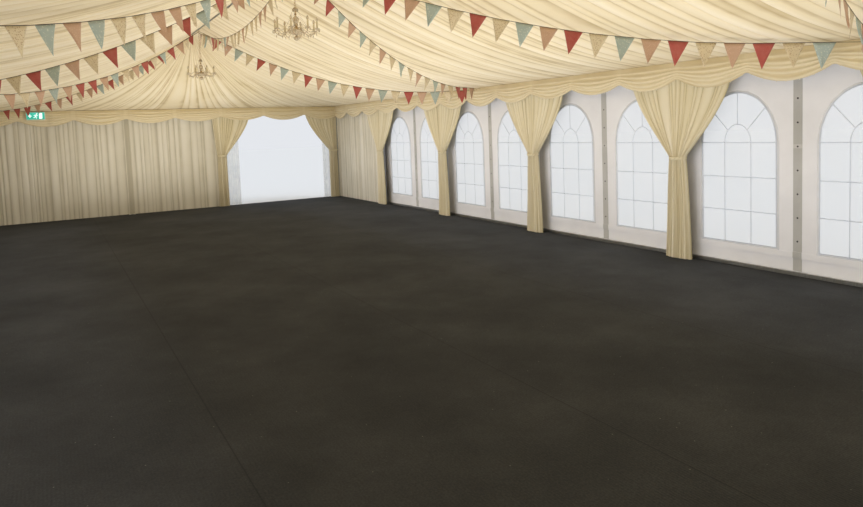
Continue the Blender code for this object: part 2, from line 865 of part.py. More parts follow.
def cord(name, routes):
    """A bunting line: one cord through its supports, each route a hanging stretch."""
    line = []
    for route in routes:
        stretch = smooth(route, 3)
        line += stretch if not line else stretch[1:]
    curve = bpy.data.curves.new(name, "CURVE")
    curve.dimensions = "3D"
    curve.bevel_depth = CORD_RADIUS
    curve.bevel_resolution = 2
    curve.use_fill_caps = True
    spline = curve.splines.new("POLY")
    spline.points.add(len(line) - 1)
    for point, spot in zip(spline.points, line):
        point.co = (*spot, 1.0)
    curve.materials.append(CORD)
    made = bpy.data.objects.new(name, curve)
    bpy.context.scene.collection.objects.link(made)
    return made


ALUMINIUM = material("mill_aluminium", (0.55, 0.56, 0.58), 0.45, 1.0)
TIMBER = material("floor_timber", (0.35, 0.22, 0.12), 0.7)
CARPET = material("charcoal_carpet", (0.045, 0.048, 0.055), 0.95)
COVER = material("white_pvc_cover", (0.80, 0.80, 0.80), 0.5)
WALL = material("white_pvc_wall", (0.76, 0.76, 0.80), 0.5)
CLEAR = material("clear_pvc", (0.75, 0.80, 0.82), 0.1, alpha=0.35)
LINING = material("ivory_lining", (0.83, 0.77, 0.62), 0.8)
DRAPE = material("ivory_drape", (0.80, 0.72, 0.55), 0.8)
CRYSTAL = material("crystal_and_brass", (0.75, 0.66, 0.45), 0.2)
CORD = material("bunting_cord", (0.30, 0.10, 0.08), 0.8)
SIGN = material("sign_green", (0.02, 0.35, 0.14), 0.5)

for index, line_y in enumerate(portal_lines(), start=1):
    make_portal(index, line_y)
make_end_frame("near_end_frame", -1)
make_end_frame("far_end_frame", 1)
make_beams()
make_floor()
make_roof()
make_side_wall(-1, "left")
make_side_wall(1, "right")
make_end_wall(-1, "near")
make_end_wall(1, "far")
make_roof_lining()
make_wall_lining(-1, "near")
make_wall_lining(1, "far")
make_pelmets()
make_leg_drapes()
make_door_drapes()
for index in range(CHANDELIER_COUNT):
    bay_line = CHANDELIER_FIRST + CHANDELIER_SPACING * index
    make_chandelier(index + 1, HALF_LENGTH - BAY * bay_line)
for index, routes in enumerate(BUNTING, start=1):
    cord(f"bunting_line_{index}", routes)
sign_back = END_PELMET_BACK - PELMET_THICKNESS - GAP
sign_top = PELMET_HEIGHT - SIGN_DROP
sign_low = (SIGN_LEFT, sign_back - SIGN_DEPTH, sign_top - SIGN_HEIGHT)
sign_high = (SIGN_LEFT + SIGN_WIDTH, sign_back, sign_top)
boxes("exit_sign", [(sign_low, sign_high)], SIGN)
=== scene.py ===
"""The looks of a lined frame marquee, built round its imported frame."""

from functools import partial
from math import cos, hypot, pi, radians, sin

import bmesh
import bpy
import numpy as np
from mathutils import Matrix, Vector


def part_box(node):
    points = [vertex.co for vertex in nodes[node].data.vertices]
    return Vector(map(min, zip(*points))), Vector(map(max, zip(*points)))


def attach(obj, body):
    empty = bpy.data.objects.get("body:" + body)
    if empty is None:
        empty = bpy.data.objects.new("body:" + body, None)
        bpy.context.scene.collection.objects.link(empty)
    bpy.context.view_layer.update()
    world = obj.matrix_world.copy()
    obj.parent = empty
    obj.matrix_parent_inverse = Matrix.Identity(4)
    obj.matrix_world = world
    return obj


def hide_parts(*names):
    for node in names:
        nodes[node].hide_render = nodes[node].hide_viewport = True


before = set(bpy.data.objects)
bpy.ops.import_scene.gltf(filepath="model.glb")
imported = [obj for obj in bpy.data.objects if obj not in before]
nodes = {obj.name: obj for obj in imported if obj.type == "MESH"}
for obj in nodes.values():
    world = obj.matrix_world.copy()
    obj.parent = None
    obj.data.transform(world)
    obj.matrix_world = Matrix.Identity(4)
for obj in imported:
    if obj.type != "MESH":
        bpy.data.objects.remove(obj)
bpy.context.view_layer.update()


# Camera. It stands inside the tent a bay from the near end, at a standing person's eye height,
# and looks along the ridge and across to the window wall. The view is cut below its optical axis.
EYE = Vector((-2.804, -7.440, 1.853))
YAW, PITCH, ROLL = radians(29.763), radians(4.264), radians(-2.169)
FOCAL_PX, WIDE_PX, HIGH_PX, AXIS_PX = 665.7, 863, 507, 178.3

level = Vector((sin(YAW), cos(YAW), 0.0))
aim = level * cos(PITCH) - Vector((0, 0, 1)) * sin(PITCH)
crown = level * sin(PITCH) + Vector((0, 0, 1)) * cos(PITCH)
across = Vector((cos(YAW), -sin(YAW), 0.0))
right = across * cos(ROLL) + crown * sin(ROLL)
upright = crown * cos(ROLL) - across * sin(ROLL)
bpy.ops.object.camera_add()
camera = bpy.context.object
camera.matrix_world = Matrix.Translation(EYE) @ Matrix((right, upright, -aim)).transposed().to_4x4()
camera.data.sensor_width = 36.0
camera.data.lens = FOCAL_PX / WIDE_PX * camera.data.sensor_width
camera.data.shift_y = (AXIS_PX - HIGH_PX / 2) / WIDE_PX
camera.data.clip_start = 0.05
camera.data.clip_end = 400.0
bpy.context.scene.camera = camera


# Bunting. Six cords of twisted cotton are tied to the wall heads and looped over the chandelier
# hooks, each stretch sagging under triangles of printed cotton sewn on a quarter of a metre apart.
CORD_RADIUS, CORD_STEPS = 0.003, 3
FLAG_WIDTH, FLAG_HEIGHT, FLAG_COTTON = 0.21, 0.265, 0.0012
FLAG_COLUMNS, FLAG_ROWS, FLAG_ROOM = 6, 7, 0.10
# The most that a flag swings in radians, curls out, waves and leans.
FLAG_MOVES = (0.16, 0.035, 0.016, 0.35)
# Each line's supports, the cord's heights at the quarters of each stretch between them, and for
# each stretch how far along it the first flag is sewn, the flags' spacing, their size against the
# largest, and their red, cream, blue and tan.
BUNTING = (
    (
        ((-4.292, 10.1, 2.54), (0.0061, 6.7576, 4.0), (4.292, 3.1, 2.55)),
        ((2.62, 2.89, 3.35), (3.31, 2.83, 2.58)),
        ((0.14, 0.25, 0.78, "TCBRRRTRTRCTBR"), (0.09, 0.258, 0.92, "CRTB")),
    ),
    (
        ((-4.292, 3.3, 2.55), (-0.0064, 6.7452, 3.98)),
        ((2.59, 2.84, 3.31),),
        ((0.25, 0.25, 0.88, "RBCRTCTBTRRTBCTRCBRTC"),),
    ),
    (
        ((-4.292, 3.0, 2.55), (0.0061, 0.7577, 4.0), (4.292, -3.8, 2.55)),
        ((2.67, 2.96, 3.40), (3.39, 2.94, 2.66)),
        ((0.245, 0.247, 0.92, "RBTRCRBTCRBCTRBCTRBC"), (0.165, 0.278, 1.0, "BTCBRTBCRCBTRCBTRCTRCB")),
    ),
    (
        ((-4.292, -3.1, 2.54), (0.0056, 0.742, 3.98), (4.292, 3.0, 2.57)),
        ((2.63, 2.90, 3.35), (3.30, 2.83, 2.59)),
        ((0.25, 0.246, 0.86, "TRBCRTCBTBCCTTCBRTBCRTB"), (0.20, 0.251, 0.84, "CTRBTBCTCBCTCBTCRRTB")),
    ),
    (
        ((-4.292, -3.95, 2.53), (0.0, -5.26, 4.0), (4.292, -3.95, 2.53)),
        ((2.66, 2.94, 3.39), (3.39, 2.94, 2.66)),
        ((0.12, 0.25, 0.9, "RCBT"), (0.12, 0.25, 0.9, "TCBT")),
    ),
    (
        ((0.0, 6.7428, 3.96), (0.0098, 0.75, 3.96), (0.0, -5.2428, 3.96)),
        ((3.65, 3.54, 3.65), (3.65, 3.54, 3.65)),
        ((0.12, 0.25, 0.88, "TCBCRTCCBTCCCTCCCTTCCBTC"), (0.12, 0.25, 0.88, "TRCB")),
    ),
)


def linear(code):
    """An sRGB hex colour as linear red, green and blue, with full alpha."""
    parts = [int(code[i : i + 2], 16) / 255 for i in (1, 3, 5)]
    return (*[p / 12.92 if p <= 0.04045 else ((p + 0.055) / 1.055) ** 2.4 for p in parts], 1.0)


def feed(node, values):
    """Gives each input its value, or links it to a socket or to the first output of a node."""
    for key, value in values.items():
        if isinstance(value, bpy.types.Node):
            value = value.outputs[0]
        if isinstance(value, bpy.types.NodeSocket):
            node.id_data.links.new(value, node.inputs[key])
        else:
            node.inputs[key].default_value = value


def add_node(tree, kind, numbered=None, stops=(), **named):
    """Adds a shader node: its lower-case settings, its inputs by number or name, a ramp's stops."""
    made = tree.nodes.new("ShaderNode" + kind)
    for key in filter(str.islower, named):
        setattr(made, key, named[key])
    feed(made, {**(numbered or {}), **{key.replace("_", " "): named[key] for key in named if key.istitle()}})
    for i, (place, code) in enumerate(stops):
        elements = made.color_ramp.elements
        element = elements[i] if i < 2 else elements.new(place)
        element.position, element.color = place, linear(code)
    return made


def new_finish(name, **constants):
    """A new material with its constants set on the shader, a way to add its nodes, and the shader."""
    made = bpy.data.materials.new(name)
    made.use_nodes = True
    shader = made.node_tree.nodes["Principled BSDF"]
    feed(shader, {key.replace("_", " ").title().replace("Ior", "IOR"): constants[key] for key in constants})
    return made, partial(add_node, made.node_tree), shader


def patchy(
    name, scale, detail, dark, pale, ends=(0.3, 0.7), bump=None, wear=None, stretch=None, **constants
):
    """A finish whose colour drifts in soft patches, and with it its height, gloss or glow if asked."""
    made, add, shader = new_finish(name, **constants)
    coords = add("TexCoord").outputs["Object"]
    coords = add("Mapping", Vector=coords, Scale=stretch) if stretch else coords
    patches = add("TexNoise", Vector=coords, Scale=scale, Detail=detail)
    tone = add("ValToRGB", Fac=patches, stops=((ends[0], dark), (ends[1], pale)))
    feed(shader, {"Base Color": tone})
    if bump:
        feed(shader, {"Normal": add("Bump", Strength=bump[0], Distance=bump[1], Height=patches)})
    if wear:
        feed(shader, {"Roughness": add("MapRange", Value=patches, To_Min=wear[0], To_Max=wear[1])})
    if "emission_strength" in constants:
        feed(shader, {"Emission Color": tone})
    return made


def between(start, stop, heights):
    """A stretch of cord at its supports and its quarters, which are placed to the nearest centimetre."""
    quarters = []
    for share, z in zip((0.25, 0.5, 0.75), heights):
        quarters.append((*[round(a + (b - a) * share, 2) for a, b in zip(start[:2], stop[:2])], z))
    return [start, *quarters, stop]


def hung(points, steps):
    """Points along one smooth curve through all of the given ones, that many to a stretch."""
    spots = [Vector(p) for p in points]
    ends = [2 * spots[0] - spots[1]] + spots + [2 * spots[-1] - spots[-2]]
    line = []
    for a, b, c, d in zip(ends, ends[1:], ends[2:], ends[3:]):
        for i in range(steps):
            t = i / steps
            bend = (2 * a - 5 * b + 4 * c - d) * t * t + (3 * b - 3 * c + d - a) * t * t * t
            line.append(0.5 * (2 * b + (c - a) * t + bend))
    return line + [spots[-1]]


def distances(line):
    """How far along a line of points each of them lies."""
    total = [0.0]
    for first, second in zip(line, line[1:]):
        total.append(total[-1] + (second - first).length)
    return total


def spot_at(line, total, far):
    """The point that lies a given way along a line of points."""
    return Vector([np.interp(far, total, [p[axis] for p in line]) for axis in range(3)])


def placed(name, data):
    """A new object in the scene for a mesh or a curve."""
    made = bpy.data.objects.new(name, data)
    bpy.context.scene.collection.objects.link(made)
    return made


def curve_through(name, lines, radius=0.0, rounds=0, closed=False):
    """A curve with a straight run through each line of points, round in section, ends capped."""
    curve = bpy.data.curves.new(name, "CURVE")
    curve.dimensions = "3D"
    curve.bevel_depth, curve.bevel_resolution = radius, rounds
    curve.use_fill_caps = True
    for line in lines:
        spline = curve.splines.new("POLY")
        spline.points.add(len(line) - 1)
        spline.use_cyclic_u = closed
        for point, spot in zip(spline.points, line):
            point.co = (*spot, 1.0)
    return placed(name, curve)


def kept(piece, slot, *stood_for):
    """Lets a finished piece ride on the tent in place of these nodes; its slot is not used."""
    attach(piece, "root")
    if stood_for:
        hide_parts(*stood_for)
    return piece


# Twisted cotton piping cord: matt and dark brown, its strands a little paler where they rub.
piping_cord = patchy(
    "cotton_piping_cord", 60.0, 3.0, "#2a211b", "#4a3b30", (0.35, 0.65), roughness=0.85, sheen_weight=0.2
)


def printed_cotton(name, ground, motif, motif_mm, reach):
    """Plain-woven cotton with a small all-over print, its scale set by the motif in millimetres."""
    cotton, add, shader = new_finish(name, roughness=0.9, sheen_weight=0.15)
    cut = add("UVMap")
    faded = add("TexNoise", Vector=cut, Scale=14.0, Detail=4.0)
    sprigs = add("TexVoronoi", Vector=cut, Scale=1000 / motif_mm, Randomness=0.8)
    shown = add("MapRange", Value=sprigs, From_Min=reach, From_Max=reach - 0.15)
    washed = add("MapRange", Value=faded, To_Max=0.22)
    cloth = add("Mix", {0: washed, 6: linear(ground), 7: linear("#d9cbb4")}, data_type="RGBA")
    printed = add("Mix", {0: shown, 6: cloth.outputs[2], 7: linear(motif)}, data_type="RGBA")
    # Threads 0.6 mm apart are too fine to show, so the weave is drawn at 3 mm.
    weave = add("TexWave", Vector=cut, Scale=1 / (0.003 * 2 * pi), Distortion=2.0)
    raised = add("Bump", Strength=0.15, Distance=0.001, Height=weave.outputs["Fac"])
    feed(shader, {"Base Color": printed.outputs[2], "Normal": raised})
    return cotton


flag_cottons = (
    printed_cotton("red_dotted_cotton", "#a63a36", "#bd6f66", 14, 0.26),
    printed_cotton("cream_sprigged_cotton", "#d6c8a8", "#b39a7c", 14, 0.42),
    printed_cotton("duck_egg_sprigged_cotton", "#9fb1ad", "#c6cbbd", 20, 0.38),
    printed_cotton("rose_tan_cotton", "#bf9b82", "#d2b49c", 12, 0.36),
)


def sew_flags(shape, chart, line, chance, far, spacing, size, letters):
    """Sews flags along one stretch of cord, and gives how long they are in all and their cloth."""
    total = distances(line)
    wide, high, count = FLAG_WIDTH * size, FLAG_HEIGHT * size, 0
    while far + wide < total[-1] - FLAG_ROOM:
        start, stop = spot_at(line, total, far), spot_at(line, total, far + wide)
        along = (stop - start).normalized()
        outward = along.cross(Vector((0, 0, 1))).normalized()
        swing, curl, wave, lean = [chance.uniform(-most, most) for most in FLAG_MOVES]
        down = outward.cross(along).normalized()
        down = -down if down.z > 0 else down
        down = (down * cos(swing) + outward * sin(swing)).normalized()
        face, above = along.cross(down), []
        for j in range(FLAG_ROWS + 1):
            v, row = j / FLAG_ROWS, []
            for i in range(FLAG_COLUMNS + 1 if j < FLAG_ROWS else 1):
                u = i / FLAG_COLUMNS if j < FLAG_ROWS else 0.5
                side = (u - 0.5) * (1 - v) * wide
                bow = curl * v * v + wave * sin(pi * 2 * u) * v + lean * side * v
                place = (start + stop) / 2 + along * side + down * (v * high) + face * bow
                place += down * CORD_RADIUS
                row.append((shape.verts.new(place), (u * wide * (1 - v) + far, v * high)))
            for i in range(FLAG_COLUMNS if above else 0):
                below = row[i : i + 2] if j < FLAG_ROWS else row
                corners = (above[i], *below, above[i + 1])
                made = shape.faces.new([corner for corner, _ in corners])
                made.material_index = "RCBT".index(letters[count % len(letters)])
                made.smooth = True
                for loop, (_, spot) in zip(made.loops, corners):
                    loop[chart].uv = spot
            above = row
        far += spacing
        count += 1
    return count * high, count * wide * high / 2


for number, (supports, sags, runs) in enumerate(BUNTING, start=1):
    stretches = [hung(between(*ends), CORD_STEPS) for ends in zip(supports, supports[1:], sags)]
    line = stretches[0] + [spot for stretch in stretches[1:] for spot in stretch[1:]]
    cord = curve_through(f"bunting_cord_{number}", [line], CORD_RADIUS, 3)
    cord.data.materials.append(piping_cord)
    kept(cord, "bunting", f"bunting_line_{number}")

    shape = bmesh.new()
    chart = shape.loops.layers.uv.new("cut")
    chance = np.random.default_rng(number)
    sewn = [sew_flags(shape, chart, stretch, chance, *run) for stretch, run in zip(stretches, runs)]
    mesh = bpy.data.meshes.new(f"bunting_flags_{number}")
    shape.to_mesh(mesh)
    shape.free()
    for cotton in flag_cottons:
        mesh.materials.append(cotton)
    flags = placed(f"bunting_flags_{number}", mesh)
    hem = flags.modifiers.new("cotton", "SOLIDIFY")
    hem.thickness, hem.offset = FLAG_COTTON, 0.0
    kept(flags, "bunting")
    length, cotton = [sum(parts) for parts in zip(*sewn)]


# Frame. Portal bents every bay, an end frame with gable posts and hips at each end, and the eave
# and ridge beams between them. All are extruded aluminium box bars with grooved sides, bolted up.
leg_face, drape_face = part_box("portal_frame_1")[1].x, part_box("right_leg_drapes")[1].x
LEG_MIDDLE = (leg_face + drape_face) / 2
PIN_RADIUS, PIN_HEIGHT, PIN_INSET, PLATE_TOP = 0.012, 0.010, 0.024, 0.0125
SIDES, ENDS = (("left", -1), ("right", 1)), (("near", -1), ("far", 1))


def coat(finish, *names):
    """Gives these nodes of the frame a finish."""
    for name in names:
        nodes[name].material_slots[0].material = finish


# Mill-finished aluminium: dull grey metal, drawn lines down its length, and painted shade in its two wall
# grooves.
mill_aluminium, add, shader = new_finish("mill_aluminium", metallic=1.0, roughness=0.45)
coords = add("TexCoord").outputs["Object"]
out = add("SeparateXYZ", Vector=coords)
for operation, other in (("ABSOLUTE", 0.5), ("SUBTRACT", LEG_MIDDLE), ("ABSOLUTE", 0.5), ("MULTIPLY", 10.0)):
    out = add("Math", {0: out, 1: other}, operation=operation)
# Dark bands where the two grooves run paint the shade inside them.
groove_shade_stops = [(0.0, "#ffffff"), (1.0, "#ffffff"), (0.20, "#ffffff"), (0.22, "#4a4a4c"), (0.29, "#4a4a4c")]
groove_shade = add("ValToRGB", Fac=out, stops=groove_shade_stops + [(0.31, "#ffffff")])
stretched = add("Mapping", Vector=coords, Scale=(160, 160, 5))
drawn = add("TexNoise", Vector=stretched, Scale=1.0, Detail=3.0)
tone = add("ValToRGB", Fac=drawn, stops=((0.3, "#a6a8ab"), (0.7, "#c3c5c8")))
both = add("Mix", {0: 1.0, 6: tone, 7: groove_shade}, data_type="RGBA", blend_type="MULTIPLY")
rough = add("MapRange", Value=drawn, To_Min=0.36, To_Max=0.56)
raised = add("Bump", Strength=0.12, Distance=0.002, Height=drawn)
feed(shader, {"Base Color": both.outputs[2], "Roughness": rough, "Normal": raised})
coat(mill_aluminium, *[name for name in nodes if "frame" in name or "beam" in name])


def only(*pieces):
    """Selects these pieces and nothing else, the first of them active."""
    bpy.ops.object.select_all(action="DESELECT")
    for piece in pieces:
        piece.select_set(True)
    bpy.context.view_layer.objects.active = pieces[0]


def settled(name, finish):
    """Names the piece just made, gives it its finish and puts its place into its mesh."""
    piece = bpy.context.object
    only(piece)
    piece.name = piece.data.name = name
    bpy.ops.object.transform_apply(location=True, rotation=True, scale=True)
    piece.data.materials.clear()
    piece.data.materials.append(finish)
    return piece


def bevelled(piece, width):
    """A piece with all its edges eased by a small bevel."""
    only(piece)
    ease = piece.modifiers.new("bevel", "BEVEL")
    ease.width, ease.segments = width, 2
    bpy.ops.object.modifier_apply(modifier=ease.name)
    return piece


def copied(piece, shift=(0, 0, 0), turn=Matrix.Identity(4)):
    """A copy of a finished piece with its own mesh, turned and moved."""
    twin = piece.copy()
    twin.data = piece.data.copy()
    bpy.context.scene.collection.objects.link(twin)
    twin.data.transform(Matrix.Translation(shift) @ turn)
    return twin


def gathered(pieces, name):
    """Joins pieces into the first of them, under one name."""
    only(*pieces)
    bpy.ops.object.join()
    joined = bpy.context.object
    joined.name = joined.data.name = name
    return joined


# Ground pins through the base plates: forged steel, zinc plated, with a six-sided head.
zinc_steel = patchy(
    "zinc_plated_steel", 220.0, 4.0, "#8c8e90", "#b4b6b6", (0.35, 0.7), metallic=1.0, roughness=0.4
)
bpy.ops.mesh.primitive_cylinder_add(vertices=6, radius=PIN_RADIUS, depth=PIN_HEIGHT)
pin = bevelled(settled("ground_pins", zinc_steel), 0.0015)
pins = []
for name in [name for name in nodes if name.startswith("portal_frame")]:
    low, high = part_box(name)
    for side in (-1, 1):
        for y in (low.y + PIN_INSET, high.y - PIN_INSET):
            pins.append(copied(pin, (side * (drape_face - PIN_INSET), y, PLATE_TOP + PIN_HEIGHT / 2)))
bpy.data.objects.remove(pin)
kept(gathered(pins, "ground_pins"), "frame")


# Floor. Boards of phenolic-faced plywood on the ground, with ribbed exhibition carpet laid over.
# Plywood: brown film face with a fine mesh print and pale scuffs.
ply_face = patchy(
    "phenolic_plywood", 3.0, 6.0, "#4a3323", "#6d4f36",
    bump=(0.2, 0.001), stretch=(1.2, 14, 14), roughness=0.55,
)
coat(ply_face, "floor_deck")

# Ribbed needle-felt carpet: charcoal, matt, ribs 8 mm apart drawn at 20 mm, seams every 2 m,
# trodden patches where the pile is flattened and paler, and a scatter of pale lint.
felt_carpet, add, shader = new_finish("charcoal_needle_felt", roughness=1.0, specular_ior_level=0.2)
coords = add("TexCoord").outputs["Object"]
ribs = add(
    "TexWave", Vector=coords, Scale=1 / (0.020 * pi), Distortion=1.5, Detail=2.0, Detail_Scale=3.0
)
fibres = add("TexNoise", Vector=coords, Scale=90.0, Detail=8.0, Roughness=0.7)
trodden = add("TexNoise", Vector=coords, Scale=0.8, Detail=5.0, Roughness=0.62)
mixed = add("Mix", {0: 0.5, 2: fibres, 3: trodden})
tone = add("ValToRGB", Fac=mixed, stops=((0.36, "#2b2d30"), (0.66, "#47494c"), (0.5, "#383a3d")))
lint = add("TexVoronoi", Vector=coords, Scale=9.0, Randomness=1.0)
fleck = add("MapRange", Value=lint, From_Min=0.045, From_Max=0.025, To_Max=0.55)
parted = add("SeparateXYZ", Vector=coords)
strip = add("Math", {0: parted, 1: 1.0}, operation="PINGPONG")
seam = add("MapRange", Value=strip, From_Min=0.006, From_Max=0.002, To_Max=0.5)
flecked = add("Mix", {0: fleck, 6: tone, 7: linear("#8d8c88")}, data_type="RGBA")
seamed = add("Mix", {0: seam, 6: flecked.outputs[2], 7: linear("#1d1e20")}, data_type="RGBA")
height = add("Math", {0: ribs.outputs["Fac"], 1: fibres}, operation="ADD")
raised = add("Bump", Strength=0.3, Distance=0.002, Height=height)
feed(shader, {"Base Color": seamed.outputs[2], "Normal": raised})
coat(felt_carpet, "carpet")


# Roof covers. Four panels of white PVC-coated polyester, welded from strips and pulled tight over
# the rafters, each with a skirt that laps over the wall heads.
SEAM_PITCH, SEAM_WIDTH, SEAM_SOFT = 1.5, 0.045, 0.002


def coated_polyester(name, plain, soiled, seam_axis, crease_mm):
    """PVC-coated polyester: satin white with welded laps, faint grime and shallow creases."""
    made, add, shader = new_finish(name, roughness=0.45, specular_ior_level=0.4)
    coords = add("TexCoord").outputs["Object"]
    parted = add("SeparateXYZ", Vector=coords).outputs[seam_axis]
    place = add("Math", {0: parted, 1: SEAM_PITCH / 2}, operation="PINGPONG")
    outer, inner = SEAM_WIDTH / 2 + SEAM_SOFT, SEAM_WIDTH / 2 - SEAM_SOFT
    weld = add("MapRange", Value=place, From_Min=outer, From_Max=inner)
    grime = add("TexNoise", Vector=coords, Scale=0.9, Detail=8.0, Roughness=0.6)
    tone = add("ValToRGB", Fac=grime, stops=((0.30, soiled), (0.62, plain)))
    lapped = add("Mix", {0: weld, 6: tone, 7: linear(plain)}, data_type="RGBA")
    creases = add("TexNoise", Vector=coords, Scale=1000 / crease_mm, Detail=3.0, Distortion=0.6)
    step = add("Math", {0: weld, 1: 0.12, 2: creases}, operation="MULTIPLY_ADD")
    raised = add("Bump", Strength=0.25, Distance=0.02, Height=step)
    rough = add("MapRange", Value=grime, To_Min=0.52, To_Max=0.38)
    feed(shader, {"Base Color": lapped.outputs[2], "Roughness": rough, "Normal": raised})
    return made


cover_pvc = coated_polyester("coated_polyester_cover", "#d9dadb", "#cfd0d1", "Y", 2600)
coat(cover_pvc, *[name for name in nodes if name.endswith("roof_cover")])


# Walls. Sheets of the same coated polyester beaded into the legs, hung from the eave beams. The
# side walls have round-headed windows of clear PVC, and lap in the middle of each bay.
WINDOW_HALF, WINDOW_SILL, WINDOW_SPRING, WINDOW_RISE = 0.50, 0.316, 1.543, 0.604
FAN_HALF, FAN_RISE, SPOKE_ANGLE = 0.178, 0.222, radians(43)
CROSSBARS = (1.543, 1.123, 0.710)
BAR_WIDTH, BORDER_WIDTH, WELD_THICKNESS = 0.014, 0.020, 0.002
BAY, FIRST_BAY, HAIR = 3.0, -7.5, 0.0005
wall_pvc = coated_polyester("coated_polyester_wall", "#f0f0f2", "#e3e3e5", "Y", 420)
coat(wall_pvc, "left_wall", "right_wall", "near_wall", "far_wall", "near_door_header", "far_door_header")

# Clear PVC: a flexible glazing sheet, slightly milky, with slow waves that bend its reflections.
clear_pvc = patchy(
    "clear_flexible_pvc", 2.6, 2.0, "#e9eef1", "#f7f9fa",
    bump=(0.3, 0.03), roughness=0.08, ior=1.52, alpha=0.14,
)
coat(clear_pvc, "left_window_panes", "right_window_panes")

# Welded bars and borders: strips of grey-white PVC, welded to the clear sheet, edges rounded.
bar_pvc = patchy("welded_pvc_strip", 7.0, 5.0, "#d2d8e2", "#e4e8f0", roughness=0.4, alpha=0.72)


def on_arch(half, rise, angle):
    """The point at an angle on a window's arch, or on the small arch inside it."""
    return half * cos(angle), WINDOW_SPRING + rise * sin(angle)


def as_mesh(curve):
    """A curve turned into a mesh."""
    only(curve)
    bpy.ops.object.convert(target="MESH")
    return bpy.context.object


def welded_strips(name, lines, width, closed=False):
    """Flat strips along lines of (y, z) points, as one window's worth at Y zero."""
    lines = [[(0.0, *spot) for spot in line] for line in lines]
    strips = as_mesh(curve_through(name, lines, width / 2, 1, closed))
    bpy.ops.object.shade_flat()
    strips.scale.x = WELD_THICKNESS / width
    return settled(name, bar_pvc)


bars = [[(-WINDOW_HALF, z), (WINDOW_HALF, z)] for z in CROSSBARS]
for side in (-1, 1):
    arches = ((FAN_HALF, FAN_RISE), (WINDOW_HALF, WINDOW_RISE))
    bars.append([on_arch(side * half, rise, SPOKE_ANGLE) for half, rise in arches])
bars.append([(0.0, WINDOW_SPRING + FAN_RISE), (0.0, WINDOW_SPRING + WINDOW_RISE)])
small_arch = [on_arch(FAN_HALF, FAN_RISE, pi * i / 14) for i in range(15)]
bars.append([(FAN_HALF, WINDOW_SILL), *small_arch, (-FAN_HALF, WINDOW_SILL)])
arch = [on_arch(WINDOW_HALF, WINDOW_RISE, pi * i / 28) for i in range(29)]
edge = [(-WINDOW_HALF, WINDOW_SILL), (WINDOW_HALF, WINDOW_SILL), *arch]
one_bars = welded_strips("window_bars", bars, BAR_WIDTH)
one_border = welded_strips("window_border", [edge], BORDER_WIDTH, closed=True)
window_ys = [FIRST_BAY + BAY * (bay + share) for bay in range(5) for share in (0.25, 0.75)]

# The lap in the middle of each bay is two overlapped wall edges, coloured grey, closed by dark press studs. A
# strip hides the foot of the clear sheet, and a rail holds the wall's foot.
LAP_WIDTH, LAP_THICKNESS, LAP_FOOT, LAP_HEAD = 0.105, 0.004, 0.048, 0.02
STUD_PITCH, STUD_RADIUS, STUD_FLAT = 0.27, 0.011, 0.45
FOOT_STRIP, STRIP_DROP, STRIP_PAST, RAIL_WIDTH, RAIL_HEIGHT, RAIL_GAP = 0.072, 0.006, 0.6, 0.036, 0.045, 0.014
lap_pvc = coated_polyester("grey_polyester_lap", "#c4c3bf", "#acaba6", "Z", 160)
stud_metal = patchy(
    "blackened_press_stud", 150.0, 3.0, "#2b2a2b", "#5d5a58", (0.4, 0.75), metallic=0.8, roughness=0.35
)


def bar_block(name, low, high, finish, ease=0.001):
    """A bar or strip between two opposite corners, with its edges eased by a small bevel."""
    low, high = Vector(low), Vector(high)
    bpy.ops.mesh.primitive_cube_add(size=1.0, location=(low + high) / 2)
    bpy.context.object.scale = [abs(v) for v in high - low]
    return bevelled(settled(name, finish), ease)


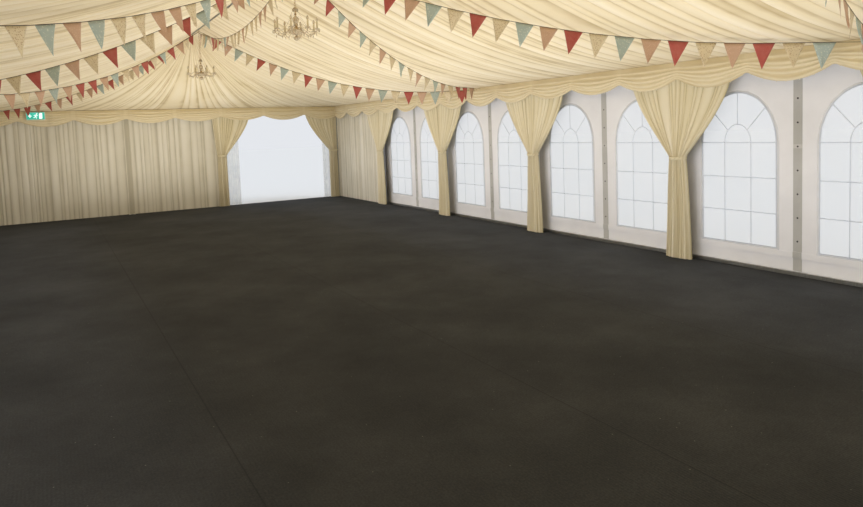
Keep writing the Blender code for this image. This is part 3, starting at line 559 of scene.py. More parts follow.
(wall_low, wall_high), (pane_low, _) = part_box("right_wall"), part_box("right_window_panes")
wall_face, pane_face, pane_foot = wall_low.x - HAIR, pane_low.x - HAIR, pane_low.z
carpet_top, wall_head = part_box("carpet")[1].z, wall_high.z
strip_foot, strip_head = pane_foot - STRIP_DROP, pane_foot + FOOT_STRIP - STRIP_DROP
lap_turn, lap_step = pane_foot - HAIR, pane_foot + FOOT_STRIP
rail_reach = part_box("right_eave_beam")[1].y - 0.01
bpy.ops.mesh.primitive_uv_sphere_add(segments=10, ring_count=6, radius=STUD_RADIUS)
bpy.context.object.scale.x = STUD_FLAT
stud = settled("stud", stud_metal)
for label, side in SIDES:
    skin, face = side * (pane_face - WELD_THICKNESS / 2), side * wall_face
    windows = [copied(one_bars, (skin, y, 0)) for y in window_ys]
    kept(gathered(windows, f"{label}_window_bars"), "wall")
    borders = [copied(one_border, (skin, y, 0)) for y in window_ys]
    for portal in range(6):
        y = FIRST_BAY + BAY * portal
        start = max(y - (BAY - LAP_WIDTH) / 2, window_ys[0] - STRIP_PAST)
        stop = min(y + (BAY - LAP_WIDTH) / 2, window_ys[-1] + STRIP_PAST)
        low = (skin - WELD_THICKNESS / 2, start, strip_foot)
        high = (skin + WELD_THICKNESS / 2, stop, strip_head)
        borders.append(bar_block("foot_strip", low, high, wall_pvc))
    kept(gathered(borders, f"{label}_window_borders"), "wall")
    laps, studs = [], []
    for bay in range(5):
        y = FIRST_BAY + BAY * (bay + 0.5)
        steps = (
            (face, carpet_top + LAP_FOOT, lap_turn),
            (side * pane_face, lap_turn, lap_step),
            (face, lap_step, wall_head - LAP_HEAD),
        )
        for back, foot, head in steps:
            low = (back, y - LAP_WIDTH / 2 + 0.001, foot)
            high = (back - side * LAP_THICKNESS, y + LAP_WIDTH / 2 - 0.001, head)
            laps.append(bar_block("lap", low, high, lap_pvc))
        height = lap_step + 0.12
        while height < wall_head - 0.1:
            studs.append(copied(stud, (face - side * LAP_THICKNESS, y, height)))
            height += STUD_PITCH
    kept(gathered(laps, f"{label}_wall_laps"), "wall")
    kept(gathered(studs, f"{label}_lap_studs"), "frame")
    back = side * (wall_low.x - RAIL_GAP)
    low = (back, -rail_reach, carpet_top + 0.0004)
    high = (back - side * RAIL_WIDTH, rail_reach, carpet_top + RAIL_HEIGHT)
    kept(bar_block(f"{label}_foot_rail", low, high, mill_aluminium, 0.003), "frame")
for part in (one_bars, one_border, stud):
    bpy.data.objects.remove(part)


# Linings. Gathered ivory voile hung inside the roof from a rail at the ridge to a rail over each
# pelmet, spread as a fan under each hipped end, and hung straight down the walls of the end bays.
lining_low, lining_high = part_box("right_roof_lining")
LINING_TOP, LINING_RAIL, LINING_SAG = lining_high.z, lining_low.z, 0.28
LINING_ROOM, LINING_EDGE, LINING_SLACK = 0.012, 0.0006, 1.01
ROOF_PLEAT, ROOF_ROWS, RIM_FOLD, ROOF_FOLD, FAN_FOLD = 0.17, 28, 0.0104, 0.026, 0.028
PLEAT_PARTS = np.array([0.0, 0.05, 0.17, 0.33, 0.5, 0.68, 0.84, 0.95])
chance = np.random.default_rng(11)


def hanging_cloth(name, ground, shaded, deepest_fold_shade, sheen, crease_mm):
    """A thin woven cloth: matt, with painted shade in its folds set by a tone on each point, creased down its
    drop.
    """
    made, add, shader = new_finish(name, roughness=0.85, sheen_weight=sheen)
    cut = add("UVMap")
    patches = add("TexNoise", Vector=cut, Scale=1.6, Detail=4.0)
    # Each point's fold tone paints shade into the colour, darkest where the cloth folds over on itself.
    fold = add("Attribute", attribute_name="fold").outputs["Fac"]
    mottle_and_fold_shade = add("Math", {0: patches, 1: 0.35, 2: fold}, operation="MULTIPLY_ADD")
    tone = add("ValToRGB", Fac=mottle_and_fold_shade, stops=((0.14, deepest_fold_shade), (0.84, ground), (0.34, shaded)))
    drawn = add("Mapping", Vector=cut, Scale=(1000 / crease_mm, 60 / crease_mm, 1.0))
    creases = add("TexNoise", Vector=drawn, Scale=1.0, Detail=5.0, Roughness=0.6)
    # Threads 0.3 mm apart are too fine to show, so the weave is drawn at 4 mm.
    weave = add("TexWave", Vector=cut, Scale=1 / (0.004 * 2 * pi), Distortion=3.0)
    height = add("Math", {0: weave.outputs["Fac"], 1: 0.05, 2: creases}, operation="MULTIPLY_ADD")
    raised = add("Bump", Strength=0.4, Distance=0.012, Height=height)
    feed(shader, {"Base Color": tone, "Normal": raised})
    return made


# Voile: thin and matt, warm over the roof and painted paler down the walls for the daylight shining through
# them, with greyer painted shade where its folds double it.
roof_voile = hanging_cloth("ivory_roof_voile", "#f3e7cb", "#e9dab6", "#c2ad80", 0.2, 26)
wall_voile = hanging_cloth("pale_wall_voile", "#dfdacb", "#d2ccba", "#b7b09c", 0.2, 30)


def pleats(length, pitch):
    """Rows of how far along a gathered cloth each column lies, its pleat's fullness and its phase."""
    count = round(length / pitch)
    widths = np.exp(chance.normal(0.0, 0.45, count))
    edges = np.concatenate([[0.0], np.cumsum(widths)]) / widths.sum() * length
    along = (edges[:-1, None] + np.diff(edges)[:, None] * PLEAT_PARTS).ravel()
    full = np.repeat(chance.uniform(0.30, 1.0, count) * np.minimum(1.0, widths), len(PLEAT_PARTS))
    phase = np.repeat(chance.uniform(0.0, 1.0, count), len(PLEAT_PARTS))
    lean = np.exp(chance.normal(0.25, 0.45, count))
    swell = full * (np.sin(pi * PLEAT_PARTS ** lean[:, None]) ** 0.7).ravel()
    return [np.append(row, last)[None, :] for row, last in ((along, length), (swell, 0.0), (phase, 0.0))]


def grid(*axes):
    """A grid of points from the numbers or arrays of its axes."""
    return np.stack(np.broadcast_arrays(*axes), axis=-1)


def cloth(name, finish, spots, cut, fold, flip):
    """A sheet of cloth from a grid of points, with its cut in metres as UVs and a tone for the painted shade
    in its folds.
    """
    high, wide = spots.shape[:2]
    index = np.arange(high * wide).reshape(high, wide)
    quads = grid(index[:-1, :-1], index[:-1, 1:], index[1:, 1:], index[1:, :-1]).reshape(-1, 4)
    quads = quads[:, ::-1] if flip else quads
    mesh = bpy.data.meshes.new(name)
    mesh.from_pydata(spots.reshape(-1, 3).tolist(), [], quads.tolist())
    chart = mesh.uv_layers.new(name="cut")
    chart.data.foreach_set("uv", cut.reshape(-1, 2)[quads.ravel()].astype(np.float32).ravel())
    painted_fold_shade = mesh.attributes.new("fold", "FLOAT", "POINT")
    painted_fold_shade.data.foreach_set("value", np.broadcast_to(fold, (high, wide)).astype(np.float32).ravel())
    mesh.shade_smooth()
    mesh.materials.append(finish)
    return placed(name, mesh)


def surface(sheet):
    """The area of a cloth, with its folds, in square metres."""
    return sum(face.area for face in sheet.data.polygons)


def hang(sheet, slot, stood_for, wide, drop, held, *rests_on, **more):
    """Keeps a cloth that was cut to a width and a drop before it was hung; the width and the drop are not
    used.
    """
    kept(sheet, slot, stood_for)


def lining_line(share):
    """The top face of the roof lining, a share of the way from the ridge to the pelmet rail."""
    fall = (LINING_TOP - LINING_RAIL - LINING_ROOM) * share
    tucked = (LINING_ROOM - 2 * LINING_EDGE) * share**16
    return LINING_TOP - fall - 4 * LINING_SAG * share * (1 - share) - LINING_EDGE - tucked


ridge_x, rail_x, half_ridge = lining_low.x, lining_high.x, lining_high.y
share = np.linspace(0.0, 1.0, ROOF_ROWS + 1)[:, None]
slope = hypot(rail_x - ridge_x, LINING_TOP - LINING_RAIL) * LINING_SLACK
for label, side in SIDES:
    along, swell, phase = pleats(2 * half_ridge, ROOF_PLEAT)
    y = along - half_ridge
    ease = np.minimum(1.0, (half_ridge - np.abs(y)) / 0.3)
    sway = 0.020 * np.sin(2 * pi * (0.7 * share + 0.31 * y)) * np.sin(pi * share) * ease
    depth = RIM_FOLD * (1 - share**16) + ROOF_FOLD * np.sin(pi * share) ** 0.6
    life = 0.72 + 0.28 * np.sin(2 * pi * (1.3 * share + phase))
    bay = np.sin(pi * (y - FIRST_BAY) / BAY) ** 2 * np.sin(pi * share)
    lift = lining_line(share) - depth * swell * life - 0.012 * bay
    spots = grid(side * (ridge_x + (rail_x - ridge_x) * share), y + sway, lift)
    name, cut = f"{label}_roof_lining", grid(y * 1.3, slope * share)
    # The pleats' swell also tones the cloth, as painted shade in the creases between them.
    lining = cloth(f"{name}_cloth", roof_voile, spots, cut, swell * life, side > 0)
    wide = surface(lining) / slope
    hang(lining, "lining", name, wide, slope, "hung", "ridge_beam", f"{label}_eave_beam")

# Each fan is gathered tightly into a small hub at the end of the ridge and opens out to a rail
# round three sides of its bay, so its pleats start deep and close together and end shallow.
FAN_HUB, FAN_ROWS = 0.04, 26
fan_low, fan_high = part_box("far_fan_lining")
fan_depth = fan_high.y - fan_low.y
share = np.linspace(0.0, 1.0, FAN_ROWS + 1)[:, None]
corners = (0, fan_depth, fan_depth + 2 * rail_x, 2 * fan_depth + 2 * rail_x)
for label, end in ENDS:
    along, swell, phase = pleats(corners[-1], ROOF_PLEAT)
    edge_x = np.interp(along, corners, (rail_x, rail_x, -rail_x, -rail_x))
    edge_y = np.interp(along, corners, (0.0, fan_depth, fan_depth, 0.0))
    opened = FAN_HUB / np.hypot(edge_x, edge_y) * (1 - share) + share
    depth = RIM_FOLD * (1 - share**16) + FAN_FOLD * np.sin(pi * np.sqrt(share)) ** 0.8
    life = 0.75 + 0.25 * np.sin(2 * pi * (1.7 * share + phase))
    lift = lining_line(share) - depth * swell * life
    spots = grid(edge_x * opened, end * (fan_low.y + edge_y * opened), lift)
    name = f"{label}_fan_lining"
    # The pleats' swell also tones the cloth, as painted shade in the creases between them.
    lining = cloth(f"{name}_cloth", roof_voile, spots, grid(along, slope * share), swell * life, end < 0)
    # Its panels taper toward the hub, so they make up less than the whole rim times the slope.
    panels = round(surface(lining), 2)
    hang(lining, "lining", name, corners[-1], slope, "gathered", f"{label}_end_frame", area=panels)

WALL_PLEAT, WALL_ROWS, WALL_FOLD, POST_OUT, POST_HALF = 0.11, 12, 0.026, 1.125, 0.045
left_low, left_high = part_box("far_left_wall_lining")
right_low, right_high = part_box("far_right_wall_lining")
hem, heading, door_x = left_low.z, left_high.z, left_high.x
wall_x, wall_y = right_high.x, right_high.y
share = np.linspace(0.0, 1.0, WALL_ROWS + 1)[:, None]
z = hem + (heading - hem) * share
for label, end in ENDS:
    for hand, side in SIDES:
        over = wall_x + door_x if side < 0 else 0.0
        along, swell, phase = pleats(over + (wall_y - right_low.y), WALL_PLEAT)
        corner = np.clip(np.abs(along - over) / 0.06, 0.0, 1.0) if side < 0 else 1.0
        fold = swell * corner * WALL_FOLD * (0.8 + 0.2 * np.sin(2 * pi * (share + phase)))
        turned = along >= over
        back_x = np.where(turned, side * wall_x, door_x - along)
        back_y = np.where(turned, wall_y - (along - over), wall_y)
        x = np.where(turned, back_x - side * (fold + LINING_EDGE), np.maximum(back_x, -wall_x + LINING_EDGE))
        y = np.where(turned, back_y, back_y - fold - LINING_EDGE)
        # The voile is thin, so a painted shadow darkens it where a gable post stands behind it, and its
        # pleats are toned with painted shade.
        painted_post_shadow = 0.45 * (np.abs(np.abs(back_x) - POST_OUT) < POST_HALF) * (along < over)
        spots, cut, tone = grid(x, end * y, z), grid(along * 1.2, z), fold / WALL_FOLD - painted_post_shadow
        name = f"{label}_{hand}_wall_lining"
        lining = cloth(f"{name}_cloth", wall_voile, spots, cut, tone, (end > 0) == (side < 0))
        wide = surface(lining) / (heading - hem)
        hang(lining, "lining", name, wide, heading - hem, "hung", f"{label}_end_frame")


# Pelmets. A swagged valance of heavier, yellower ivory satin along each eave and across each
# end, caught up every metre so that its folds hang in curves between the catches.
SWAG_DROP, SWAG_TAIL, SWAG_ROWS, SWAG_COLUMNS, SWAG_BELLY = 0.36, 0.215, 34, 26, 0.13
# Each fold's distance below the rail at a catch and at the middle of a swag, its spread and share.
SWAG_FOLDS = (
    (0.070, 0.080, 0.024, 0.5),
    (0.112, 0.145, 0.025, 0.8),
    (0.145, 0.208, 0.026, 1.0),
    (0.173, 0.270, 0.027, 0.9),
    (0.198, 0.335, 0.029, 0.8),
)
FOLD_OUT, SWAG_OUT, TAIL_OUT, SIGN_ROOM = 0.026, 0.020, 0.018, 0.05
BEAD_RADIUS, BEAD_PITCH, BEAD_START = 0.0055, 0.14, 0.05
# Satin: smoother and yellower than the voile, with deep brown shade in its folds. Beads: clear.
swag_satin = hanging_cloth("ivory_swag_satin", "#e2d5b4", "#cdbb90", "#978157", 0.3, 40)
bead_glass = patchy("clear_pelmet_bead", 40.0, 2.0, "#efe6cf", "#fffdf4", roughness=0.15)
pelmet_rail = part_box("right_pelmet")[1].z
v = np.linspace(0.0, 1.0, SWAG_ROWS + 1)[:, None]
bpy.ops.mesh.primitive_ico_sphere_add(subdivisions=1, radius=BEAD_RADIUS)
pelmet_bead = settled("bead", bead_glass)


def against(back, side=0, end=0):
    """Gives X and Y from how far along a side or an end a cloth lies, and how far out from its back."""
    return lambda far, out: (side * (back - out), far) if side else (far, end * (back - out))


def swagged_pelmet(name, first, reach, spacing, place, flip, rests_on, flat_between=None):
    """A swagged pelmet along a line, its folds deepest between the catches and pinched at them."""
    count = round(2 * reach / spacing * SWAG_COLUMNS)
    along = np.linspace(-reach, reach, count + 1)[None, :]
    q, number = ((along - first) / spacing) % 1.0, np.floor((along - first) / spacing)
    belly = 4 * q * (1 - q)
    # No two swags were let down quite as far as each other.
    uneven = 1 - SWAG_BELLY + SWAG_BELLY * np.sin(number + 0.354)
    depth = SWAG_TAIL + (SWAG_DROP - SWAG_TAIL) * belly * uneven - 0.001
    drop, folds = depth * v, 0 * along * v
    # Each swag has five uneven folds of its own, laid one over the next from the top down, and
    # they close up toward the foot of the pelmet at each catch.
    for caught, low, spread, share in SWAG_FOLDS:
        tilt = 0.014 * (q - 0.5) * np.sin(number * 4.3)
        uneven = 0.010 * np.sin(number * (3.1 + 20 * low) + 25 * low) + tilt
        away = drop - caught - (low - caught + uneven) * belly * depth / SWAG_DROP
        spread = spread * (0.5 + 0.5 * belly)
        folds = folds + share * np.exp(-((away / np.where(away > 0, 0.5 * spread, spread)) ** 2))
    swing = SWAG_OUT * np.sin(pi * v**0.8) * belly + FOLD_OUT * folds * belly**0.4
    catch = np.minimum(q, 1 - q) * spacing
    tail = TAIL_OUT * (0.5 - 0.5 * np.cos(2 * pi * catch / 0.075)) * np.exp(-catch / 0.08)
    out = 0.0012 + swing + tail * (0.3 + 0.7 * v)
    if flat_between:
        past = np.minimum(along - flat_between[0], flat_between[1] - along)
        inside = np.clip(past / 0.05 + 1.0, 0.0, 1.0)
        out = out * (1 - inside) + np.minimum(out, 0.004) * inside
    spots, cut = grid(*place(along, out), pelmet_rail - drop), grid(along * 1.1, drop * 1.6)
    # The tone paints shade into the satin: dark between its folds, lighter over the folds and the tails at
    # the catches.
    lift = np.clip(0.25 + 0.75 * folds * (0.4 + 0.6 * belly) + 0.4 * (1 - belly) * tail / TAIL_OUT, 0.0, 1.0)
    valance = cloth(f"{name}_cloth", swag_satin, spots, cut, lift, flip)
    beads = []
    for far in np.arange(BEAD_START - reach, reach - BEAD_START, BEAD_PITCH):
        column = round((far + reach) / (2 * reach) * count)
        beads.append(copied(pelmet_bead, Vector(spots[-1, column]) - Vector((0, 0, BEAD_RADIUS))))
    beads = kept(gathered(beads, f"{name}_beads"), "crystal")
    # The strip is as long as its rail and as deep as its deepest swag, measured over the folds.
    deep = np.linalg.norm(np.diff(spots, axis=0), axis=-1).sum(axis=0).max()
    hang(valance, "drape", name, 2 * reach, deep, "gathered", rests_on, with_pieces=[beads])


side_rail, end_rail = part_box("right_pelmet")[1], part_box("far_pelmet")[1]
sign_low, sign_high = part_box("exit_sign")
flat_part = (sign_low.x - SIGN_ROOM, sign_high.x + SIGN_ROOM)
for label, side in SIDES:
    place = against(side_rail.x, side=side)
    swagged_pelmet(f"{label}_pelmet", -10.5, side_rail.y, 1.0, place, side < 0, f"{label}_eave_beam")
for label, end in ENDS:
    place, flat = against(end_rail.y, end=end), flat_part if end > 0 else None
    swagged_pelmet(f"{label}_pelmet", -4.5, end_rail.x, 1.125, place, end > 0, f"{label}_end_frame", flat)
bpy.data.objects.remove(pelmet_bead)


# Drapes. Full curtains of the same ivory cloth hang from a heading behind the pelmets and are
# tied in at waist height, one over each leg and a pair over each doorway.
TIE_HEIGHT, WAIST, LEG_FOOT, DOOR_FOOT, HEADING_DEPTH = 1.36, 0.24, 0.40, 0.26, 0.10
DRAPE_ROWS, DRAPE_PLEATS, HEADING_PLEAT, SASH_HALF, SASH_OUT = 44, 19, 0.15, 0.019, 0.096
# Heavy ivory drape cloth: matt, a shade warmer than the wall voile, with painted brown shade in its folds.
drape_cloth = hanging_cloth("ivory_drape_cloth", "#e3dabf", "#d2c6a2", "#a4966e", 0.25, 34)
drape_low, drape_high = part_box("right_leg_drapes")
drape_hem, drape_head = drape_low.z, drape_high.z
below = np.linspace(drape_hem, TIE_HEIGHT, DRAPE_ROWS // 2 + 1)
above = np.linspace(TIE_HEIGHT, drape_head, DRAPE_ROWS // 2 + 1)
z = np.concatenate([below, above[1:]])[:, None]


def tied_drape(low, high, waist, foot):
    """Grids of how far along and how far out a tied drape's cloth lies, where it was cut, and the tone that
    paints shade into its folds.
    """
    part, swell, phase = pleats(1.0, 1.0 / DRAPE_PLEATS)
    u = 2 * part - 1
    rise = np.clip((z - TIE_HEIGHT) / (drape_head - TIE_HEIGHT), 0.0, 1.0)
    fall = np.clip((TIE_HEIGHT - z) / (TIE_HEIGHT - drape_hem), 0.0, 1.0)
    spread = np.sin(pi / 2 * rise) ** 1.04
    half = WAIST / 2 + (foot - WAIST) / 2 * fall**0.7
    arm = np.where(u < 0, waist - WAIST / 2 - low, high - waist - WAIST / 2)
    slack = np.clip(1 - rise / 0.72, 0.0, 1.0)
    bulge = 0.042 * slack**1.2 * (1 - 0.15 * np.sin(pi * fall))
    life = 0.85 + 0.15 * np.sin(2 * pi * (0.8 * rise + 0.6 * fall + phase))
    sway = 0.010 * np.sin(pi * fall * 2 + 1.3) * fall
    out = 0.0015 + (0.018 + 0.026 * slack) * swell**0.8 * life + bulge * np.sqrt(np.clip(1 - u**2, 0.0, 1.0))
    return waist + u * (half + spread * arm) + sway * (1 - u**2), out, grid(part * 2.4, z), swell**0.8 * life


def tie_band(waist):
    """Grids of a soft sash round the front of a drape's waist, sagging to its middle, with painted shade in
    its creases.
    """
    turn, level = np.linspace(0.0, pi, 25)[None, :], np.linspace(-1.0, 1.0, 5)[:, None]
    lateral = waist - (WAIST / 2 + 0.010) * np.cos(turn)
    out = 0.002 + SASH_OUT * np.sin(turn) ** 0.75 + 0.002 * np.cos(pi * level)
    height = TIE_HEIGHT + SASH_HALF * level - 0.012 * np.sin(turn)
    sash_crease_shade = 0.05 + 0.35 * np.abs(np.sin(6.5 * turn + 0.8 * level))
    return lateral, out, height, grid(turn * 0.12, level * 0.035), sash_crease_shade


def drape_set(name, spans, foot, place, flip, rests_on):
    """Every drape that hangs from one heading, joined, with its sashes as pieces of their own."""
    parts, sashes = [], []
    for low, high, waist in spans:
        lateral, out, cut, fold = tied_drape(low, high, waist, foot)
        parts.append(cloth("drape", drape_cloth, grid(*place(lateral, out), z), cut, fold, flip))
        lateral, out, height, cut, fold = tie_band(waist)
        sashes.append(cloth("sash", drape_cloth, grid(*place(lateral, out), height), cut, fold, flip))
    start, stop = spans[0][0], spans[-1][1]
    along, swell, _ = pleats(stop - start, HEADING_PLEAT)
    height = drape_head - HEADING_DEPTH * (1 - np.linspace(0.0, 1.0, 3)[:, None])
    spots = grid(*place(start + along, 0.0008), height)
    # The heading's pleats tone it, as painted shade in the creases between them.
    parts.append(cloth("heading", drape_cloth, spots, grid(along, height), swell, flip))
    sash = kept(gathered(sashes, f"{name}_sashes"), "drape")
    curtains, wide = gathered(parts, f"{name}_cloth"), sum(high - low for low, high, _ in spans)
    hang(curtains, "drape", name, wide, drape_head - drape_hem, "hung", rests_on, with_pieces=[sash])


LEG_DRAPE = 1.64
legs = [FIRST_BAY + BAY * i for i in range(6)]
leg_spans = [(y - LEG_DRAPE / 2, y + LEG_DRAPE / 2, y) for y in legs]
for label, side in SIDES:
    place = against(drape_high.x, side=side)
    drape_set(f"{label}_leg_drapes", leg_spans, LEG_FOOT, place, side < 0, f"{label}_eave_beam")
DOOR_START, DOOR_STOP, WAISTS, DOOR_SPREAD = 0.90, 4.322, (1.10, 4.192), 0.80
inner_edges = (WAISTS[0] + DOOR_SPREAD, WAISTS[1] - DOOR_SPREAD)
door_spans = [(DOOR_START, inner_edges[0], WAISTS[0]), (inner_edges[1], DOOR_STOP, WAISTS[1])]
for label, end in ENDS:
    place = against(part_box("far_door_drapes")[1].y, end=end)
    drape_set(f"{label}_door_drapes", door_spans, DOOR_FOOT, place, end > 0, f"{label}_end_frame")


# Door flaps. Clear PVC curtains on a track behind each door header, drawn back in folds.
FLAP_FOLDS, FLAP_ROWS, FLAP_EDGE, FLAP_WIDTH = 7, 8, 0.002, 0.416
TRACK_DEPTH, TRACK_LIFT, TRACK_FRONT, TRACK_BACK = 0.10, 0.030, 0.004, 0.030
# Folded clear PVC: the same sheet, but hazier, because it is seen through several folds.
flap_pvc = patchy(
    "folded_clear_pvc", 5.0, 4.0, "#cfd8dc", "#e8eef0", bump=(0.3, 0.02), roughness=0.18, ior=1.52, alpha=0.45
)
flap_low, flap_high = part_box("far_door_flaps")
flap_room, drop = flap_high.y - flap_low.y - 0.003, flap_high.z - TRACK_DEPTH - flap_low.z
level = np.linspace(0.0, 1.0, FLAP_ROWS + 1)[:, None]
height = flap_low.z + drop * level
for label, end in ENDS:
    parts = []
    for start, stop in (
        (flap_low.x + FLAP_EDGE, flap_low.x + FLAP_EDGE + FLAP_WIDTH),
        (flap_high.x - FLAP_EDGE - FLAP_WIDTH, flap_high.x - FLAP_EDGE),
    ):
        along, _, phase = pleats(stop - start, (stop - start) / FLAP_FOLDS)
        way = np.sin(pi * along * FLAP_FOLDS / (stop - start))
        out = flap_room * (0.5 + 0.5 * way * (0.86 + 0.14 * np.cos(2 * pi * (level + phase))))
        spots = grid(start + along, end * (flap_high.y - 0.0015 - out), height)
        parts.append(cloth("flap", flap_pvc, spots, grid(along, height), way, end > 0))
    flaps = gathered(parts, f"{label}_door_flap_curtains")
    low = (flap_low.x, end * (flap_high.y - TRACK_FRONT), flap_high.z - TRACK_DEPTH + TRACK_LIFT)
    high = (flap_high.x, end * (flap_high.y - TRACK_BACK), flap_high.z)
    track = bar_block(f"{label}_door_track", low, high, mill_aluminium, 0.003)
    hang(flaps, "clear", f"{label}_door_flaps", surface(flaps) / drop, drop, "hung", f"{label}_end_frame")
    kept(track, "frame")


# Chandeliers. Eight-armed, of pressed glass on nickel-plated stems, each hung on a chain from the
# ridge beam, with candle lamps, strings of glass beads and cut drops.
ARMS, CROWN_Z, CANDLE_HEIGHT, BEAD_GAP = 8, 3.44, 0.095, 0.0165
hook_low, hook_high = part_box("chandelier_1")
foot_z, arm_reach = hook_low.z, hook_high.x - 0.034
# Pressed glass, painted warm as though lit by its lamps; nickel plate, dulled here and there; waxed card
# sleeves.
cut_glass = patchy(
    "pressed_clear_glass", 60.0, 2.0, "#c9b38e", "#fbf0d8",
    bump=(0.4, 0.002), roughness=0.06, ior=1.5, transmission_weight=0.35,
)
plated_nickel = patchy(
    "nickel_plated_brass", 35.0, 4.0, "#b69e78", "#dfc9a4", wear=(0.18, 0.4), metallic=1.0, roughness=0.25
)
candle_card = patchy("ivory_candle_sleeve", 90.0, 3.0, "#c3b593", "#d9cca9", roughness=0.5)


def turned_piece(name, finish, sides, base, *profile):
    """A turned piece: a profile of (radius, height over a base) spun about the upright axis."""
    as_mesh(curve_through(name, [[(radius, 0.0, base + height) for radius, height in profile]]))
    bpy.ops.object.mode_set(mode="EDIT")
    bpy.ops.mesh.select_all(action="SELECT")
    bpy.ops.mesh.spin(steps=sides, angle=2 * pi, center=(0, 0, 0), axis=(0, 0, 1))
    bpy.ops.mesh.select_all(action="SELECT")
    bpy.ops.mesh.remove_doubles(threshold=0.0001)
    bpy.ops.mesh.normals_make_consistent(inside=False)
    bpy.ops.object.mode_set(mode="OBJECT")
    piece = settled(name, finish)
    bpy.ops.object.shade_smooth_by_angle(angle=radians(40))
    return piece


def tube(name, line, radius, finish):
    """A round bar bent along a line of points."""
    as_mesh(curve_through(name, [line], radius, 1))
    return settled(name, finish)


def strung(start, stop, sag):
    """Beads copied along a sagging string between two points."""
    start, stop = Vector(start), Vector(stop)
    count = max(2, round((stop - start).length * (1 + sag * 4) / BEAD_GAP))
    shares = [i / count for i in range(count + 1)]
    return [copied(bead, start.lerp(stop, t) - Vector((0, 0, 4 * sag * t * (1 - t)))) for t in shares]


foot = foot_z - CROWN_Z
pieces = [
    turned_piece(
        "stem", plated_nickel, 16, CROWN_Z,
        (0.0, 0.0), (0.012, -0.003), (0.034, -0.018), (0.032, -0.025), (0.012, -0.034), (0.008, -0.080),
        (0.017, -0.090), (0.008, -0.100), (0.010, -0.230), (0.034, -0.262), (0.042, -0.275), (0.042, -0.292),
        (0.020, -0.310), (0.008, -0.335), (0.008, foot + 0.030), (0.0, foot + 0.028),
    ),
    turned_piece(
        "glass_vase", cut_glass, 12, CROWN_Z,
        (0.009, -0.118), (0.028, -0.126), (0.042, -0.150), (0.038, -0.180), (0.018, -0.205), (0.026, -0.222),
        (0.030, -0.232), (0.010, -0.238),
    ),
    turned_piece(
        "glass_bowl", cut_glass, 18, CROWN_Z,
        (0.012, -0.342), (0.050, -0.334), (0.082, -0.306), (0.094, -0.290), (0.096, -0.292), (0.085, -0.312),
        (0.052, -0.340), (0.012, -0.349),
    ),
    turned_piece(
        "foot_ball", cut_glass, 12, foot_z + 0.062,
        *[(0.036 * sin(pi * i / 8) + 0.0001, 0.030 * cos(pi * i / 8)) for i in range(9)],
    ),
]
sconce = turned_piece(
    "sconce", cut_glass, 14, 0.0,
    (0.0, -0.014), (0.007, -0.012), (0.010, 0.0), (0.030, 0.005), (0.033, 0.010), (0.030, 0.008),
    (0.011, 0.004), (0.011, 0.018), (0.0, 0.018),
)
candle = turned_piece(
    "candle", candle_card, 10, 0.016,
    (0.0, 0.0), (0.0125, 0.0), (0.0125, 0.079), (0.008, 0.081), (0.0, 0.081),
)
lamp_glass = turned_piece(
    "candle_lamp", cut_glass, 10, CANDLE_HEIGHT,
    (0.0, 0.0), (0.008, 0.003), (0.016, 0.018), (0.012, 0.038), (0.004, 0.051), (0.0, 0.055),
)
bpy.ops.mesh.primitive_ico_sphere_add(subdivisions=1, radius=0.0042)
bead = settled("bead", cut_glass)
bpy.ops.mesh.primitive_cone_add(vertices=6, radius1=0.0080, radius2=0.001, depth=0.034)
drop = settled("drop", cut_glass)
drop.data.transform(Matrix.Rotation(pi, 4, "X") @ Matrix.Translation((0, 0, 0.017)))


def arm_turn(arm):
    """A turn about the upright axis by a number of arms."""
    return Matrix.Rotation(2 * pi * arm / ARMS, 4, "Z")


rim_z, arm_z = CROWN_Z - 0.290, CROWN_Z - 0.285
arm_line = (
    (0.036, 0, arm_z), (0.072, 0, arm_z + 0.024), (0.118, 0, arm_z - 0.020),
    (0.176, 0, arm_z - 0.064), (0.234, 0, arm_z - 0.050), (arm_reach, 0, rim_z - 0.012),
)
inner = Vector((arm_reach - 0.028, 0, rim_z + 0.004))
for arm in range(ARMS):
    turn, after = arm_turn(arm + 0.3), arm_turn(arm + 1.3)
    bar = tube("arm", hung(arm_line, 4), 0.0055, cut_glass)
    bar.data.transform(turn)
    pieces.append(bar)
    place = turn @ Vector((arm_reach, 0, rim_z))
    pieces += [copied(part, place) for part in (sconce, candle, lamp_glass)]
    pieces += strung(turn @ Vector((0.031, 0, CROWN_Z - 0.026)), turn @ inner, 0.085)
    pieces += strung(turn @ inner, after @ inner, 0.060)
    pieces += strung(turn @ Vector((0.090, 0, CROWN_Z - 0.298)), (0, 0, foot_z + 0.045), 0.026)
    for lean in (-0.9, 0.0, 0.9):
        hook = Matrix.Rotation(lean, 4, "Z") @ Vector((0.030, 0, -0.002))
        pieces.append(copied(drop, place + turn.to_3x3() @ hook))
    hooks = [turn @ Vector((0.176, 0, arm_z - 0.070)), turn @ Vector((arm_reach - 0.012, 0, rim_z - 0.050))]
    for far in (0.0, 0.5):
        around = arm_turn(arm + far)
        hooks += [around @ Vector((0.091, 0, CROWN_Z - 0.300)), around @ Vector((0.031, 0, CROWN_Z - 0.028))]
    pieces += [copied(drop, hook) for hook in hooks]
for part in (sconce, candle, lamp_glass, bead, drop):
    bpy.data.objects.remove(part)
bpy.ops.mesh.primitive_torus_add(major_radius=0.012, minor_radius=0.0020, major_segments=12, minor_segments=6)
link = settled("link", plated_nickel)
height, count = CROWN_Z - 0.002, 0
while height < hook_high.z - 0.014:
    stand = Matrix.Rotation(pi / 2, 4, "X" if count % 2 else "Y")
    pieces.append(copied(link, (0, 0, height + 0.012), Matrix.Diagonal((1, 1, 1.15, 1)) @ stand))
    height += 0.0205
    count += 1
bpy.data.objects.remove(link)
whole = gathered(pieces, "chandelier")
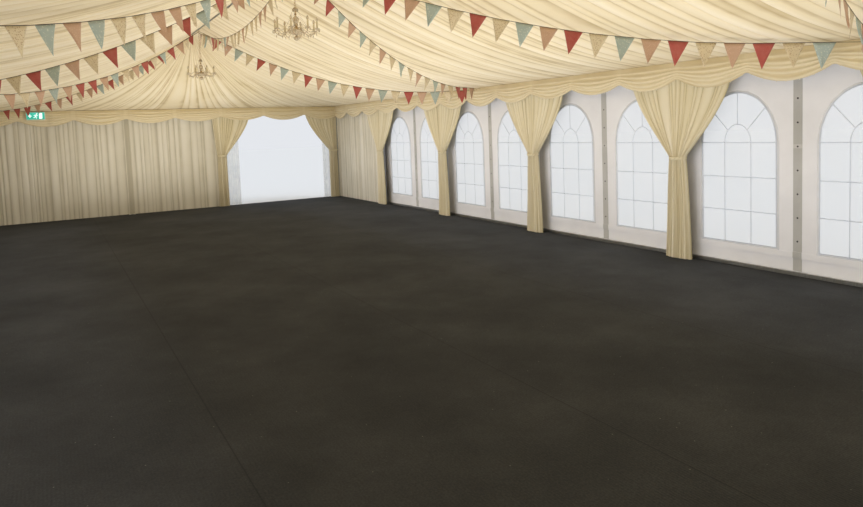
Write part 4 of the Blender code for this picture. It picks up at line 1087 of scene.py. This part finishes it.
for number, y in ((1, 6.75), (2, 0.75), (3, -5.25)):
    twin = copied(whole, (0, y, 0))
    twin.name = twin.data.name = f"chandelier_{number}_cut_glass"
    kept(twin, "crystal", f"chandelier_{number}")
bpy.data.objects.remove(whole)


# Exit sign. A slim moulded box with a lit face, screwed to the gable rail over the pelmet. Its
# face shows the usual running figure, door and arrow.
SIGN_EASE, SIGN_BORDER, SIGN_RAISED, SIGN_BACK = 0.008, 0.010, 0.0006, 0.0012
# White moulded ABS, a little scuffed. Panels of translucent acrylic, lit from behind.
sign_case = patchy("moulded_white_case", 18.0, 5.0, "#d9dad6", "#ebebe7", roughness=0.4)
sign_green = patchy("lit_green_panel", 6.0, 2.0, "#239a88", "#45c4b0", roughness=0.35, emission_strength=0.6)
sign_white = patchy("lit_white_figure", 6.0, 2.0, "#e2f8f4", "#f6fffd", roughness=0.35, emission_strength=1.1)
middle, face_y = (sign_low + sign_high) / 2, sign_low.y + SIGN_BACK
case = bar_block("exit_sign_case", sign_low + Vector((0, SIGN_BACK, 0)), sign_high, sign_case, SIGN_EASE)
low = (sign_low.x + SIGN_BORDER, face_y + 0.001, sign_low.z + SIGN_BORDER)
high = (sign_high.x - SIGN_BORDER, face_y - SIGN_RAISED, sign_high.z - SIGN_BORDER)
panel = bar_block("exit_sign_panel", low, high, sign_green, 0.0004)
# The figure's trunk, legs and arms and the arrow are flat bars with round ends, each between two
# points and as wide as the third number, in millimetres from the middle of the face.
strokes = []
for *ends, width in (
    ((10, 22), (-4, -12), 20), ((-4, -12), (18, -28), 12), ((18, -28), (12, -54), 12),
    ((-4, -12), (-20, -36), 12), ((-20, -36), (-44, -40), 12), ((10, 24), (30, 6), 10),
    ((30, 6), (46, 12), 10), ((8, 22), (-18, 20), 10), ((-18, 20), (-30, 2), 10),
    ((-80, 0), (-128, 0), 20), ((-134, 0), (-104, 34), 18), ((-134, 0), (-104, -34), 18),
):
    line = [(middle.x + x / 1000, 0, middle.z + z / 1000) for x, z in ends]
    strokes.append(tube("stroke", line, width / 2000, sign_white))
    flat = Matrix.Diagonal((1, 1.1 / width, 1, 1))
    strokes[-1].data.transform(Matrix.Translation((0, face_y - SIGN_RAISED, 0)) @ flat)
low = (middle.x + 0.070, face_y - SIGN_RAISED - HAIR, middle.z - 0.060)
high = (middle.x + 0.130, face_y - SIGN_RAISED + HAIR, middle.z + 0.060)
strokes.append(bar_block("sign_door", low, high, sign_white))
bpy.ops.mesh.primitive_uv_sphere_add(segments=16, ring_count=8, radius=0.0135)
head = bpy.context.object
head.scale.y = 0.05
head.location = (middle.x + 0.024, face_y - SIGN_RAISED, middle.z + 0.046)
strokes.append(settled("head", sign_white))
figure = gathered(strokes, "exit_sign_figure")
kept(case, "sign", "exit_sign")
kept(panel, "sign")
kept(figure, "sign")


# Studio floor and light. The tent stands on a plain pale floor, with a soft sky and a large soft
# light from the window side, and soft boxes under the ridge that light its linings from within.
bpy.ops.mesh.primitive_plane_add(size=160.0, location=(0, 0, -0.002))
ground = bpy.context.object
ground.name = "studio_floor"
pale_floor, _, shader = new_finish("pale_studio_floor", roughness=0.8)
feed(shader, {"Base Color": linear("#e9eaea")})
ground.data.materials.append(pale_floor)

world = bpy.context.scene.world or bpy.data.worlds.new("studio")
bpy.context.scene.world = world
world.use_nodes = True
feed(world.node_tree.nodes["Background"], {"Color": linear("#f2f5fa"), "Strength": 0.88})


def soft_light(name, place, aimed_at, size, power, tint, spread):
    """A rectangular soft light, hidden from the camera, at a place and aimed at a point."""
    bpy.ops.object.light_add(type="AREA", location=place)
    lamp = bpy.context.object
    lamp.name = name
    lamp.rotation_euler = (Vector(aimed_at) - Vector(place)).to_track_quat("-Z", "Y").to_euler()
    lamp.data.shape = "RECTANGLE"
    lamp.data.size, lamp.data.size_y = size
    lamp.data.energy, lamp.data.color = power, linear(tint)[:3]
    lamp.data.spread = radians(spread)
    lamp.visible_camera = lamp.visible_glossy = False


for bay in range(7):
    y = -9.8 + 3.0 * bay
    soft_light(f"bay_wash_{bay}", (0, y, 0.2), (0.1, y + 1.0, 4.0), (5.0, 1.0), 47.0, "#fffaf2", 150)
for side, power, tint in ((-1, 26.0, "#ffe6bf"), (1, 90.0, "#fdf9f6")):
    soft_light(f"window_glow_{side}", (3 * side, 0, 0.2), (1.6 * side, 0, 4), (14.0, 0.6), power, tint, 140)
    soft_light(f"wall_glow_{side}", (side, 0, 1.0), (4.5 * side, 0, 1.0), (19.0, 0.6), 82.0, "#f3f4fb", 90)
for end in (-1, 1):
    soft_light(f"end_glow_{end}", (0, end * 6.4, 0.8), (0, end * 10.4, 0.9), (7.5, 0.6), 9.0, "#f8f6fa", 100)

bpy.ops.object.light_add(type="SUN", location=(20, -20, 20))
sun = bpy.context.object
sun.name = "soft_sky_light"
sun.rotation_euler = Vector((-0.55, 0.45, -0.70)).to_track_quat("-Z", "Y").to_euler()
sun.data.energy, sun.data.angle = 0.75, radians(40)

view = bpy.context.scene.view_settings
view.view_transform, view.exposure = "Standard", 0.0
